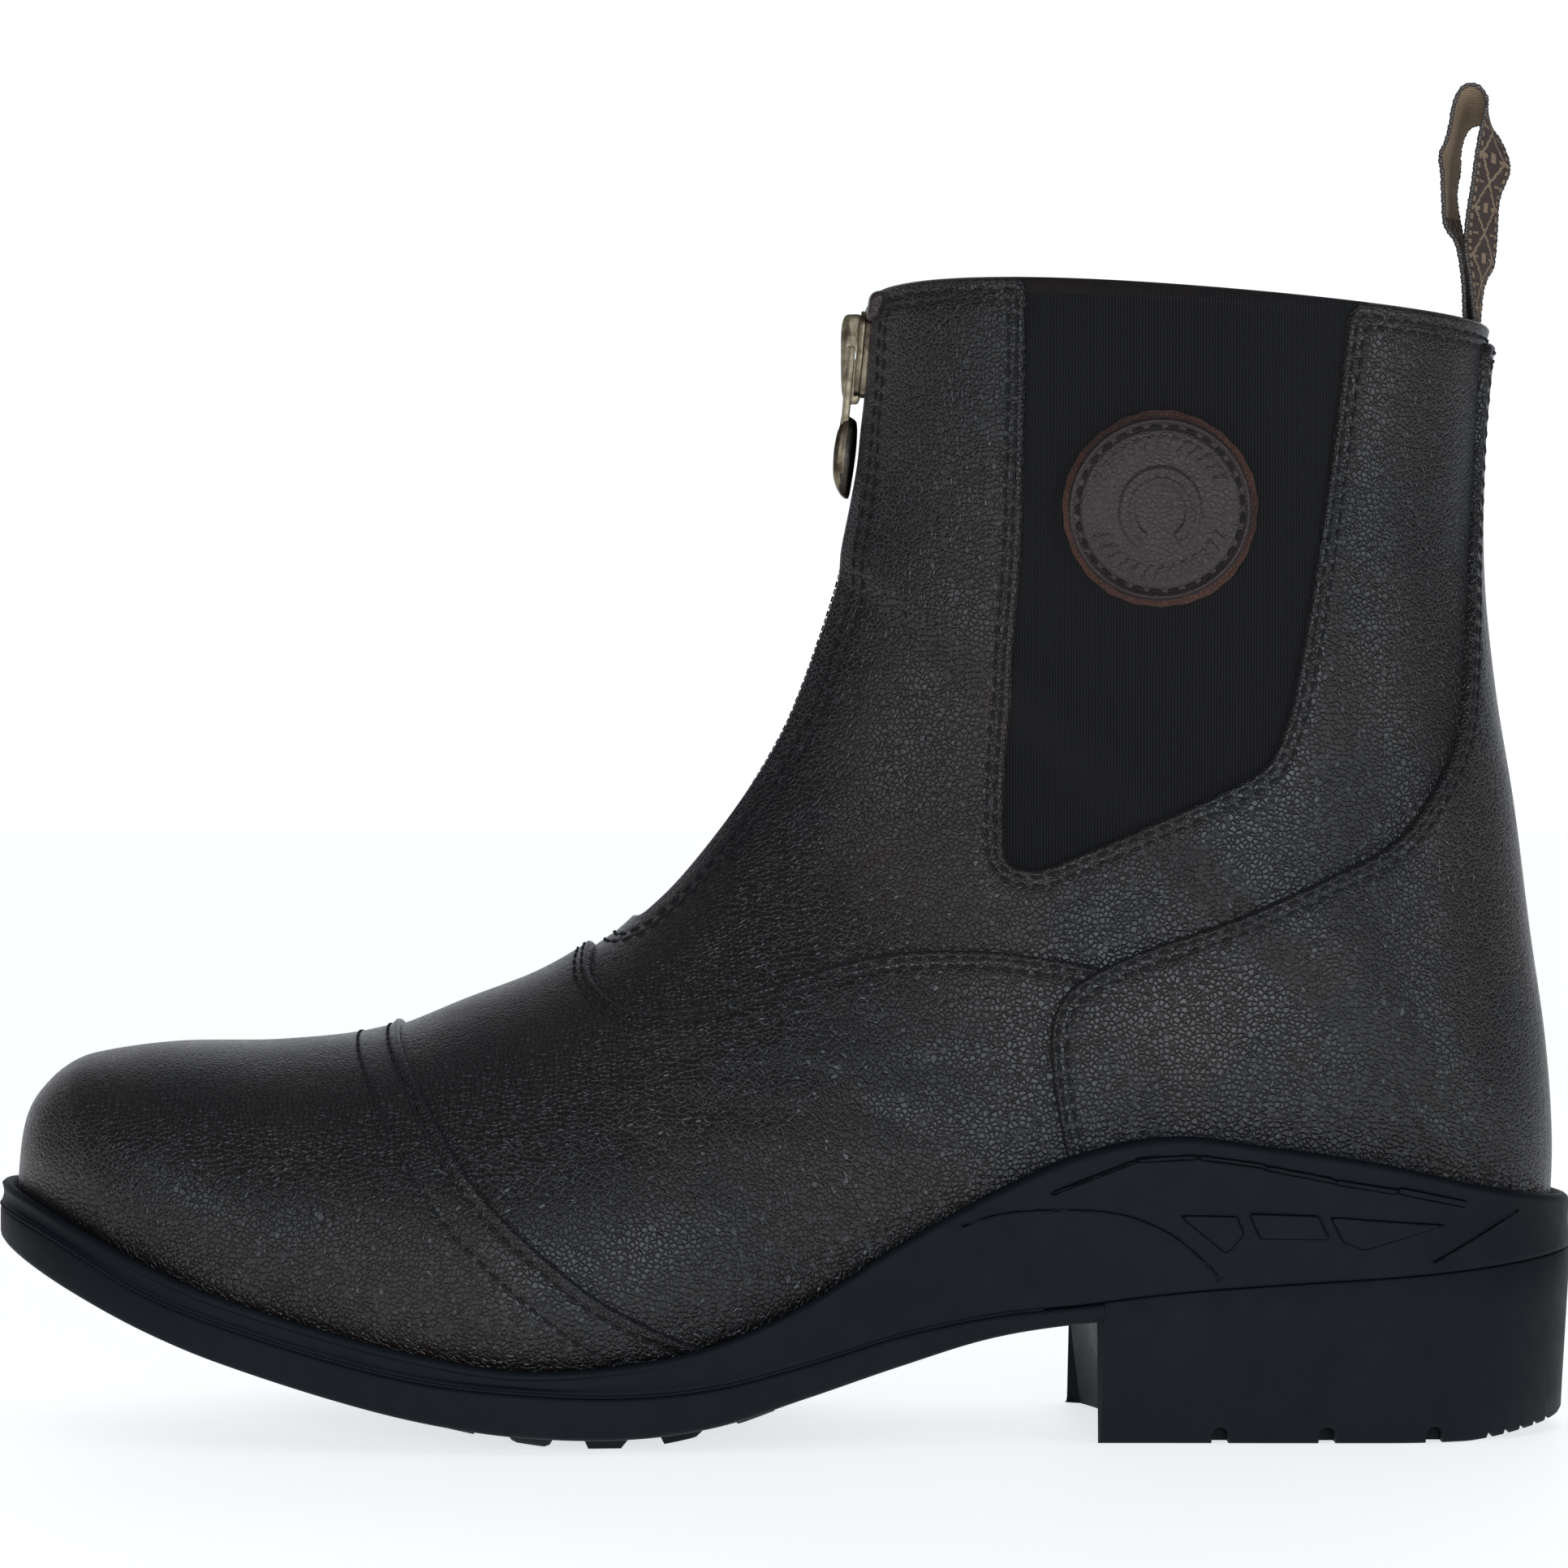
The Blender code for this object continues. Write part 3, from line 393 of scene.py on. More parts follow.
# %% Smooth curves
def smooth(places, values, wanted):
    """Smooth curve through values at rising places, read at wanted places."""
    places = np.asarray(places, float)
    values = np.asarray(values, float)
    wanted = np.clip(wanted, places[0], places[-1])
    slopes = np.empty_like(values)
    shape = (-1,) + (1,) * (values.ndim - 1)
    slopes[1:-1] = (values[2:] - values[:-2]) / (places[2:] - places[:-2]).reshape(shape)
    slopes[0] = (values[1] - values[0]) / (places[1] - places[0])
    slopes[-1] = (values[-1] - values[-2]) / (places[-1] - places[-2])
    i = np.clip(np.searchsorted(places, wanted, side="right") - 1, 0, len(places) - 2)
    step = (places[i + 1] - places[i]).reshape(shape)
    u = ((wanted - places[i]).reshape(shape)) / step
    return (
        values[i] * (1 + 2 * u) * (1 - u) ** 2 + values[i + 1] * (3 - 2 * u) * u ** 2
        + slopes[i] * step * u * (1 - u) ** 2 - slopes[i + 1] * step * (1 - u) * u ** 2
    )


def read(column, at):
    """A column of the sole's table at places along the foot."""
    index = SOLE_COLUMNS.index(column)
    return smooth(SOLE_SECTIONS[:, 0], SOLE_SECTIONS[:, index], np.atleast_1d(np.asarray(at, float)))


def sole_up(column, at):
    """World Z of one of the sole's lines."""
    return read(column, at) * SOLE_HEIGHT


def half_width(side, at, inset=0.0):
    """Half width of the sole's outline to a side, with round ends, shrunk by an inset."""
    at = np.atleast_1d(np.asarray(at, float))
    body = read(side, at) * BALL_WIDTH - inset
    start = inset / SOLE_LENGTH
    toe = np.clip((TOE_ROUND - at) / (TOE_ROUND - start), 0, 1)
    heel = np.clip((at - 1 + HEEL_ROUND) / (HEEL_ROUND - start), 0, 1)
    lean = np.maximum(toe, heel)
    return body * np.sqrt(np.clip(1 - lean ** 2, 0, 1))


print("ball half widths", half_width("outer", 0.35)[0], half_width("inner", 0.3)[0])

# %% [markdown]
# Each half section goes from its base edge out to the greatest width and then in to the ridge, as
# two pieces of rounded curve. Rows of such sections, smoothed between, are the leather's surface.

# %% The upper's surface
LOWER_STEPS = 24
UPPER_STEPS = 40
HALF_COLUMNS = 62
SURFACE_ROWS = 230


def half_section(half_base, half_wide, widest, roundness):
    """Levels from base to ridge, and half widths, down one side of a section."""
    ease = 2.2
    cut = (1 - (half_base / half_wide) ** ease) ** (1 / ease)
    turn = np.linspace(math.acos(cut ** (ease / 2)), math.pi / 2, LOWER_STEPS + 1)
    low_level = widest - widest / cut * np.clip(np.cos(turn), 0, 1) ** (2 / ease)
    low_half = half_wide * np.sin(turn) ** (2 / ease)
    turn = np.linspace(0, math.pi / 2, UPPER_STEPS + 1)[1:]
    high_level = widest + (1 - widest) * np.sin(turn) ** (2 / roundness)
    high_half = half_wide * np.clip(np.cos(turn), 0, 1) ** (2 / roundness)
    level = np.concatenate((low_level, high_level))
    half = np.concatenate((low_half, high_half))
    level[0], level[-1] = 0.0, 1.0
    half[0], half[-1] = half_base, 0.0
    return level, half


def section_points(base, ridge, halves):
    """Points of a whole section, outer base edge over the ridge to the inner one."""
    rows = []
    for sign, (level, half) in zip((-1, 1), halves):
        line = base[None] + (ridge - base)[None] * level[:, None]
        line[:, 1] = sign * half
        rows.append(line)
    return np.concatenate((rows[0], rows[1][-2::-1]))


def last_sections():
    """The table's sections as rows of points."""
    start = STAND / SOLE_LENGTH
    tip = np.array((along(start), 0.0, sole_up("bed", start)[0]))
    rows = [np.repeat(tip[None], 2 * (LOWER_STEPS + UPPER_STEPS) + 1, axis=0)]
    for base_at, ridge_at, ridge_up, widest, roundness in FOOT_SECTIONS[1:]:
        at = start + base_at * (1 - 2 * start)
        base = np.array((along(at), 0.0, sole_up("bed", at)[0]))
        ridge = np.array((along(ridge_at), 0.0, up(ridge_up)))
        middle = at + (ridge_at - at) * widest
        halves = []
        for side in ("outer", "inner"):
            wide = half_width(side, middle, STAND)[0]
            low = min(half_width(side, at, STAND)[0] * FEATHER, wide * 0.97)
            halves.append(half_section(low, wide, widest, roundness))
        rows.append(section_points(base, ridge, halves))
    for back_at, back_up, front_at, front_up, half, widest in SHAFT_SECTIONS:
        back = np.array((along(back_at), 0.0, up(back_up)))
        front = np.array((along(front_at), 0.0, up(front_up)))
        side = half_section(0.0, half * COLLAR_WIDTH, widest, 2.15)
        rows.append(section_points(back, front, (side, side)))
    return np.array(rows)


def run_along(points):
    """Distances along a line of points from its start."""
    return np.concatenate(([0], np.cumsum(np.linalg.norm(np.diff(points, axis=0), axis=1))))


def read_along(distances, run, points):
    """Places at some distances along a line of points."""
    return np.stack([np.interp(distances, run, points[:, axis]) for axis in range(3)], axis=-1)


def spread_row(row):
    """The same line with its points spaced evenly on each side of the ridge."""
    middle = len(row) // 2
    sides = []
    for side in (row[:middle + 1], row[middle:]):
        run = run_along(side)
        run += np.linspace(0, 1e-6, len(run))
        even = np.linspace(0, run[-1], HALF_COLUMNS + 1)
        sides.append(read_along(even, run, side))
    return np.concatenate((sides[0], sides[1][1:]))


def last_surface():
    """The smooth surface's points, and the row where its base edge closes at the heel."""
    rows = last_sections()
    steps = np.linalg.norm(np.diff(rows, axis=0), axis=2).mean(axis=1)
    places = np.concatenate(([0], np.cumsum(steps)))
    heel = places[len(FOOT_SECTIONS) - 1]
    wanted = np.linspace(0, places[-1], SURFACE_ROWS)
    heel_row = int(np.argmin(np.abs(wanted - heel)))
    wanted[heel_row] = heel
    points = np.array([spread_row(row) for row in smooth(places, rows, wanted)])
    points[heel_row:, 0] = points[heel_row:, -1] = (points[heel_row:, 0] + points[heel_row:, -1]) / 2
    return points, heel_row


COLLAR_ARCH = 2.3 * MM
ARCH_REACH = 45 * MM


def arch_collar(points):
    """Lifts the collar's middle, highest over the elastic, fading out down the shaft."""
    at = (points[..., 0] - along(0.556)) / (0.393 * SOLE_LENGTH)
    hill = np.clip(np.sin(np.pi * np.clip(at, 0, 1) ** 0.62), 0, 1) ** 0.8
    fade = np.clip(1 - (COLLAR_HEIGHT - points[..., 2]) / ARCH_REACH, 0, 1) ** 2
    lifted = points.copy()
    lifted[..., 2] += COLLAR_ARCH * hill * fade
    return lifted


SURFACE, HEEL_ROW = last_surface()
SURFACE = arch_collar(SURFACE)
print("surface", SURFACE.shape, "closes at row", HEEL_ROW)

# %% [markdown]
# A boot that has stood in a shop already has soft creases where the foot bends and where panels
# meet. Each is a shallow valley: a place in millimetres from the toe and over the floor, a lean in
# degrees, a half length, a half width and a depth.

# %% Creases
CREASES = (
    (203, 87.0, 12, 9, 1.6, 0.34), (206, 83.8, 24, 8, 1.4, 0.28), (199, 90.5, 4, 7, 1.6, 0.24),
    (118, 66.0, -10, 12, 2.2, 0.26), (128, 59.0, -16, 13, 2.0, 0.24), (144, 62.5, 6, 11, 2.2, 0.24),
    (156, 55.0, -8, 14, 2.4, 0.24), (134, 72.5, 8, 10, 2.0, 0.20), (170, 66.0, 10, 12, 2.2, 0.22),
    (112, 54.0, -22, 10, 2.0, 0.20), (148, 97.0, 52, 12, 3.0, 0.30), (128, 84.5, 40, 9, 2.4, 0.24),
)


def crease_surface(points):
    """Presses the creases into both sides of the surface."""
    normals = np.cross(np.gradient(points, axis=0), np.gradient(points, axis=1))
    normals /= np.maximum(np.linalg.norm(normals, axis=2, keepdims=True), 1e-12)
    depth = np.zeros(points.shape[:2])
    for from_tip, height, lean, half_length, half_wide, deep in CREASES:
        x = points[..., 0] - TOE_X - from_tip * MM
        z = points[..., 2] - height * MM
        c, s = math.cos(math.radians(lean)), math.sin(math.radians(lean))
        run = (x * c + z * s) / (half_length * MM)
        side = (z * c - x * s) / (half_wide * MM) + 0.8 * np.sin(run * 2 + from_tip)
        depth += deep * MM * np.exp(-run ** 2) * (np.exp(-side ** 2) - 0.5 * np.exp(-(side - 1.6) ** 2))
    return points - normals * depth[..., None]


SURFACE = crease_surface(SURFACE)
print(len(CREASES), "creases")

# %% [markdown]
# A panel is cut from this surface as a clicker cuts leather from a hide: along a line. Blender's
# knife follows straight lines, so here a mesh is split wherever a value stored in its points
# crosses a level. The same cut serves panel edges, stitch lines and the moulded lines of the sole.

# %% Cutting along a value
SNAP = 0.04 * MM
TINY = 1e-9


def slide(bm, vert, other, share):
    """Moves a point along an edge, with all the values that it keeps."""
    vert.co = vert.co.lerp(other.co, share)
    for layer in bm.verts.layers.float.values():
        vert[layer] += (other[layer] - vert[layer]) * share
    for layer in bm.verts.layers.float_vector.values():
        vert[layer] = vert[layer].lerp(other[layer], share)


def cut(bm, name, level):
    """Splits edges and faces along the line where a stored value meets a level."""
    layer = bm.verts.layers.float[name]
    for edge in bm.edges:
        for a, b in (edge.verts, reversed(edge.verts)):
            low = a[layer] - level
            high = b[layer] - level
            if low * high < 0 and abs(low) < SNAP and abs(high) > 2 * SNAP and not a.is_boundary:
                slide(bm, a, b, low / (low - high))
                a[layer] = level
    for edge in list(bm.edges):
        a, b = edge.verts
        low = a[layer] - level
        high = b[layer] - level
        if low * high < 0 and min(abs(low), abs(high)) > TINY:
            point = bmesh.utils.edge_split(edge, a, low / (low - high))[1]
            point[layer] = level
    waiting = list(bm.faces)
    while waiting:
        face = waiting.pop()
        pair = split_pair([vert[layer] - level for vert in face.verts])
        if pair is not None:
            verts = list(face.verts)
            extra = bmesh.utils.face_split(face, verts[pair[0]], verts[pair[1]])[0]
            waiting += [face, extra]


def split_pair(signs):
    """Corners of a face between which a level's line crosses it."""
    if max(signs) < TINY or min(signs) > -TINY:
        return None
    on = [i for i, value in enumerate(signs) if abs(value) <= TINY]
    count = len(signs)
    for k, i in enumerate(on):
        j = on[(k + 1) % len(on)]
        between = [signs[(i + step) % count] for step in range(1, (j - i) % count)]
        if between and (j + 1) % count != i and (j - i) % count < count - 1:
            if max(between) < 0 or min(between) > 0:
                return i, j
    return None


def drop_outside(bm, name, level=0.0):
    """Deletes the faces where a stored value is under a level."""
    layer = bm.verts.layers.float[name]
    outside = [face for face in bm.faces if min(v[layer] for v in face.verts) < level - TINY]
    bmesh.ops.delete(bm, geom=outside, context="FACES")


print("snap distance", SNAP)

# %% [markdown]
# A value needs a meaning before it can be cut along. Most here are distances: to an outline seen
# from the side, or to a panel's own free edge. A k-d tree of points along the edge gives the last.

# %% Distances
EDGE_STEP = 0.3 * MM
FAR = 12 * MM


def curve_through(shares, step):
    """Smooth side-view line through places given as shares of length and collar height."""
    return smooth_line([(along(x), up(z)) for x, z in shares], step)


def smooth_line(points, step):
    """Evenly spaced points on a smooth line through given points."""
    points = np.asarray(points, float)
    chord = run_along(points)
    wanted = np.linspace(0, chord[-1], max(3, int(chord[-1] / step) + 1))
    return smooth(chord, points, wanted)


def depth_inside(points, outline):
    """Distance of side-view points inside a closed outline, less than nothing outside it."""
    points = np.asarray(points, float)
    a = np.asarray(outline, float)
    b = np.roll(a, -1, axis=0)
    run = b - a
    best = np.full(len(points), 1e9)
    inside = np.zeros(len(points), bool)
    for start, end, way in zip(a, b, run):
        rel = points - start
        share = np.clip((rel @ way) / max(way @ way, 1e-18), 0, 1)
        gap = rel - share[:, None] * way
        best = np.minimum(best, (gap ** 2).sum(axis=1))
        crosses = (start[1] > points[:, 1]) != (end[1] > points[:, 1])
        rise = end[1] - start[1] if end[1] != start[1] else 1e-18
        inside ^= crosses & (points[:, 0] < start[0] + (points[:, 1] - start[1]) / rise * way[0])
    return np.where(inside, 1, -1) * np.sqrt(best)


def places_of(bm):
    """All points of a mesh as rows of numbers."""
    return np.array([vert.co for vert in bm.verts])


def store(bm, name, values):
    """Keeps a value in each point of a mesh."""
    layer = bm.verts.layers.float.get(name) or bm.verts.layers.float.new(name)
    bm.verts.ensure_lookup_table()
    for vert, value in zip(bm.verts, values):
        vert[layer] = value


def edge_points(bm, test):
    """Closely spaced points along the edges that pass a test."""
    spots = []
    for edge in bm.edges:
        if test(edge):
            a, b = (vert.co for vert in edge.verts)
            count = max(1, int((b - a).length / EDGE_STEP))
            spots += [a.lerp(b, i / count) for i in range(count + 1)]
    return spots


def store_distance(bm, name, spots):
    """Keeps each point's distance to the nearest of some spots, up to what counts as far."""
    if not spots:
        store(bm, name, [FAR] * len(bm.verts))
        return
    tree = KDTree(len(spots))
    for index, spot in enumerate(spots):
        tree.insert(spot, index)
    tree.balance()
    store(bm, name, [min(FAR, tree.find(vert.co)[2]) for vert in bm.verts])


print("edge step", EDGE_STEP)

# %% [markdown]
# The surface becomes a mesh once, and every panel starts as a copy of it. Its normals go along as
# a stored value, so that a panel's thickness can be built out from the last at any later moment.

# %% Mesh of the last
def grid_faces(rows, columns):
    """Quads between rows of points, as rows of four numbers."""
    index = np.arange(rows * columns).reshape(rows, columns)
    corners = (index[:-1, :-1], index[1:, :-1], index[1:, 1:], index[:-1, 1:])
    return np.stack(corners, axis=-1).reshape(-1, 4)


def grid_normals(points):
    """Normals of a grid of points, pointing out of the boot."""
    down = np.gradient(points, axis=0)
    across = np.gradient(points, axis=1)
    normals = np.cross(down, across)
    normals[HEEL_ROW:, 0] = normals[HEEL_ROW:, -1] = normals[HEEL_ROW:, 0] + normals[HEEL_ROW:, -1]
    normals[0] = normals[1].mean(axis=0)
    length = np.linalg.norm(normals, axis=2, keepdims=True)
    return normals / np.maximum(length, 1e-12)


def last_mesh(points, normals):
    """The surface as one bmesh, joined at the toe's tip and the back seam."""
    rows, columns = points.shape[:2]
    numbers = np.arange(rows * columns).reshape(rows, columns)
    numbers[0] = 0
    numbers[HEEL_ROW:, -1] = numbers[HEEL_ROW:, 0]
    faces = numbers.reshape(-1)[grid_faces(rows, columns)]
    bm = bmesh.new()
    normal_layer = bm.verts.layers.float_vector.new("out")
    row_layer = bm.verts.layers.float.new("row")
    made = {}
    for number in np.unique(numbers):
        i, j = divmod(int(number), columns)
        vert = bm.verts.new(points[i, j])
        vert[normal_layer] = normals[i, j]
        vert[row_layer] = i
        made[number] = vert
    for face in faces:
        corners = [made[number] for number in dict.fromkeys(face.tolist())]
        if len(corners) > 2:
            bm.faces.new(corners)
    return bm


NORMALS = grid_normals(SURFACE)
LAST = last_mesh(SURFACE, NORMALS)
print("last:", len(LAST.verts), "points; normal of the outer side", NORMALS[120, 30].round(2))

# %% [markdown]
# A panel's height over the last depends on how far a point is from the panel's edge. A folded
# leather edge rises steeply, swells a little where the fold is, and then lies level. Each row of
# stitches pulls a shallow groove. One rule gives the height for every panel.

# %% Panels
EDGE_LEVELS = (0.12 * MM, 0.3 * MM, 0.6 * MM, 1.0 * MM)
GROOVE_SIDE = 0.45 * MM
GROOVE_DEPTH = 0.19 * MM
GROOVE_WIDTH = 0.38 * MM
stitch_rows = []


def folded_edge(gap, height, bead=0.15 * MM, reach=0.9 * MM):
    """Height of a folded edge at distances from it."""
    share = np.clip(gap / reach, 0, 1)
    rise = height * np.sqrt(1 - (1 - share) ** 2)
    swell = bead * np.exp(-((gap - reach) / (0.8 * MM)) ** 2)
    return rise + swell - 0.3 * MM * np.clip(1 - gap / (0.12 * MM), 0, 1)


def grooves(seam, rows):
    """Depth that the stitch rows pull into the leather."""
    total = np.zeros_like(seam)
    for row in rows:
        total += GROOVE_DEPTH * np.exp(-((seam - row) / GROOVE_WIDTH) ** 2)
    return total


def values_of(bm, name):
    """A stored value of all the points."""
    layer = bm.verts.layers.float[name]
    return np.array([vert[layer] for vert in bm.verts])


def raise_points(bm, heights):
    """Moves each point out from the last by its height."""
    layer = bm.verts.layers.float_vector["out"]
    for vert, height in zip(bm.verts, heights):
        vert.co += vert[layer].normalized() * float(height)


def cut_panel(inside):
    """Copy of the last's mesh cut to where a test value is over nothing."""
    bm = LAST.copy()
    store(bm, "inside", inside(places_of(bm)))
    drop_outside(bm, "inside", -4 * MM)
    cut(bm, "inside", 0.0)
    drop_outside(bm, "inside")
    return bm


def follow_rows(bm, name, level):
    """Chains of points on a level, with their normals."""
    layer = bm.verts.layers.float[name]
    out = bm.verts.layers.float_vector["out"]
    beside = {}
    for edge in bm.edges:
        a, b = edge.verts
        if abs(a[layer] - level) < TINY and abs(b[layer] - level) < TINY:
            beside.setdefault(a, []).append(b)
            beside.setdefault(b, []).append(a)
    left = set(beside)
    chains = []
    ends = sorted((v for v in beside if len(beside[v]) == 1), key=lambda v: v.index)
    for start in ends + sorted(beside, key=lambda v: v.index):
        if start not in left:
            continue
        chain = [start]
        left.discard(start)
        while True:
            ahead = [v for v in beside[chain[-1]] if v in left]
            if not ahead:
                break
            chain.append(ahead[0])
            left.discard(ahead[0])
        if len(chain) > 3:
            if start in beside[chain[-1]] and len(beside[start]) > 1:
                chain.append(start)
            chains.append(([v.co.copy() for v in chain], [v[out].normalized() for v in chain]))
    return chains


def finish_panel(bm, name, heights, rows):
    """Raises a leather panel to its heights, notes its stitch rows and makes it an object."""
    raise_points(bm, heights)
    bm.verts.index_update()
    for row in rows:
        stitch_rows.extend(follow_rows(bm, "seam", row))
    return make_piece(bm, name, LEATHER)


def make_piece(bm, name, finish, body="boot"):
    """Turns a bmesh into a smooth-shaded piece that rides on a body."""
    mesh = bpy.data.meshes.new(name)
    bm.to_mesh(mesh)
    bm.free()
    for polygon in mesh.polygons:
        polygon.use_smooth = True
    mesh.materials.append(finish)
    piece = bpy.data.objects.new(name, mesh)
    bpy.context.scene.collection.objects.link(piece)
    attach(piece, body)
    return piece


def cut_seams(bm, seam_values, rows):
    """Cuts a panel along its stitch rows and both sides of each groove."""
    store(bm, "seam", seam_values)
    for row in rows:
        for level in (row - GROOVE_SIDE, row, row + GROOVE_SIDE):
            cut(bm, "seam", level)


print("edge levels", EDGE_LEVELS)

# %% [markdown]
# The quarters wrap the shaft. Their free edges are folded over elastic windows at both sides, at
# the collar and along the front zip. Two rows of stitching follow all of these edges, and sit
# further from the zip than from the windows.

# %% Quarters
GORE_EDGE = (
    (0.649, 1.060), (0.648, 0.900), (0.646, 0.774), (0.640, 0.647), (0.637, 0.502), (0.649, 0.492),
    (0.665, 0.495), (0.759, 0.552), (0.798, 0.582), (0.810, 0.616), (0.816, 0.649), (0.829, 0.751),
    (0.844, 0.900), (0.858, 1.060),
)
ZIP_REGION = (
    (0.402, 0.452), (0.436, 0.447), (0.486, 0.511), (0.532, 0.635), (0.571, 0.769), (0.589, 1.080),
    (0.500, 1.080), (0.480, 0.794), (0.423, 0.596), (0.386, 0.491),
)
SLIT_HALF = 4.5 * MM
ROWS = (1.5 * MM, 3.0 * MM)
COLLAR_ROWS = (2.7 * MM, 4.2 * MM)
ZIP_ROWS = (5.5 * MM, 7.5 * MM)
GORE_LINE = curve_through(GORE_EDGE, 0.5 * MM)
ZIP_LINE = curve_through(ZIP_REGION, 1.0 * MM)


def slit_depth(spots):
    """Distance inside the slit for the zip."""
    return np.minimum(depth_inside(spots[:, [0, 2]], ZIP_LINE), SLIT_HALF - np.abs(spots[:, 1]))


def quarter_inside(spots):
    """Distance from the windows and the zip's slit, over nothing on the leather."""
    return np.minimum(-depth_inside(spots[:, [0, 2]], GORE_LINE), -slit_depth(spots))


def seam_scale(gap, rows):
    """Maps distances so that the two rows fall on the same seam values everywhere."""
    return np.interp(gap, (0, rows[0], rows[1], FAR), (0, ROWS[0], ROWS[1], 9 * MM))


def on_boundary(edge):
    """Whether an edge has a face on one side only."""
    return len(edge.link_faces) == 1


quarter = cut_panel(quarter_inside)
row_layer = quarter.verts.layers.float["row"]
last_row = SURFACE_ROWS - 1
inside_layer = quarter.verts.layers.float["inside"]


def is_collar(edge):
    return on_boundary(edge) and min(v[row_layer] for v in edge.verts) > last_row - 0.01


def is_window(edge):
    return on_boundary(edge) and abs(edge.verts[0].co.y) > SLIT_HALF * 1.5 and (
        max(abs(v[inside_layer]) for v in edge.verts) < TINY)


def is_slit(edge):
    return on_boundary(edge) and abs(edge.verts[0].co.y) < SLIT_HALF * 1.5 and (
        max(abs(v[inside_layer]) for v in edge.verts) < TINY)


spots = {test.__name__: edge_points(quarter, test) for test in (is_collar, is_window, is_slit)}
store_distance(quarter, "edge", [spot for group in spots.values() for spot in group])
for level in EDGE_LEVELS:
    cut(quarter, "edge", level)
for name, group in spots.items():
    store_distance(quarter, name, group)
seam = np.minimum.reduce((
    values_of(quarter, "is_window"),
    seam_scale(values_of(quarter, "is_collar"), COLLAR_ROWS),
    seam_scale(values_of(quarter, "is_slit"), ZIP_ROWS),
))
cut_seams(quarter, seam, ROWS)
FOLD = 1.3 * MM
heights = folded_edge(values_of(quarter, "edge"), FOLD) - FOLD - grooves(values_of(quarter, "seam"), ROWS)
upper = finish_panel(quarter, "quarters", heights, ROWS)
print("quarters", len(upper.data.polygons), "faces;", len(stitch_rows), "stitch rows")

# %% [markdown]
# Toe cap, vamp and counter are sewn over the quarters. Each is cut from the same surface and runs
# on for 5 mm under its neighbour, as a lasting allowance does, so only its own free edge is folded
# and stitched. The toe cap's edge is a raised roll.

# %% Outlines of the overlays
CAP_EDGE = (
    (0.255, 0.363), (0.262, 0.333), (0.286, 0.275), (0.312, 0.221),
    (0.342, 0.179), (0.385, 0.131), (0.429, 0.099), (0.450, 0.088),
)
VAMP_EDGE = (
    (0.402, 0.449), (0.382, 0.431), (0.378, 0.412), (0.381, 0.393), (0.398, 0.372), (0.415, 0.368),
    (0.451, 0.375), (0.509, 0.399), (0.561, 0.418), (0.619, 0.422), (0.666, 0.415), (0.697, 0.407),
)
COUNTER_FRONT = ((0.673, 0.248), (0.666, 0.301), (0.664, 0.354), (0.669, 0.374), (0.678, 0.391))
COUNTER_TOP = (
    (0.697, 0.407), (0.726, 0.424), (0.780, 0.451), (0.841, 0.489), (0.879, 0.518), (0.905, 0.565),
    (0.921, 0.617), (0.929, 0.711), (0.931, 0.755), (0.937, 0.866), (0.940, 0.955),
)
TUCK = 5 * MM
CAP_LINE = curve_through(CAP_EDGE + ((0.470, 0.080), (0.520, 0.060)), 0.5 * MM)
VAMP_LINE = curve_through(VAMP_EDGE + ((0.725, 0.398),), 0.5 * MM)
COUNTER_LINE = curve_through(((0.684, 0.180),) + COUNTER_FRONT + COUNTER_TOP, 0.5 * MM)


def corner(at, height):
    """Side-view place of a corner given in shares."""
    return np.array([[along(at), up(height)]])


LAST_TREE = BVHTree.FromBMesh(LAST)
STRIP_LOW = up(0.52)
STRIP_FULL = up(0.60)


def strip_half_width(height):
    """Half width of the back strip at a height, found where its side-view line meets the last."""
    at = np.interp(height, COUNTER_LINE[:, 1], COUNTER_LINE[:, 0])
    hit = LAST_TREE.ray_cast(Vector((at, -1, height)), Vector((0, 1, 0)))[0]
    return abs(hit.y) if hit else 9 * MM


def cap_inside(spots):
    outline = np.concatenate((CAP_LINE[::-1], corner(0.2, 0.5), corner(-0.1, 0.5), corner(-0.1, -0.1)))
    return depth_inside(spots[:, [0, 2]], np.concatenate((outline, corner(0.52, -0.1))))


def vamp_inside(spots):
    front = CAP_LINE - (TUCK, 0)
    back = COUNTER_LINE[COUNTER_LINE[:, 1] < up(0.392)] + (TUCK, 0)
    outline = (front, corner(0.5, -0.1), corner(0.72, -0.1), back, VAMP_LINE[::-1],
               corner(0.405, 0.5), corner(0.2, 0.5))
    return depth_inside(spots[:, [0, 2]], np.concatenate(outline))


def counter_inside(spots):
    outline = (COUNTER_LINE, corner(1.1, 0.955), corner(1.1, -0.1), corner(0.68, -0.1))
    side = depth_inside(spots[:, [0, 2]], np.concatenate(outline))
    heights = np.linspace(STRIP_LOW, up(0.955), 60)
    halves = [strip_half_width(height) for height in heights]
    strip = np.minimum(np.interp(spots[:, 2], heights, halves) - np.abs(spots[:, 1]),
                       up(0.955) - spots[:, 2])
    behind = spots[:, 0] > along(0.88)
    weight = np.clip((spots[:, 2] - STRIP_LOW) / (STRIP_FULL - STRIP_LOW), 0, 1) * behind
    return side * (1 - weight) + strip * weight


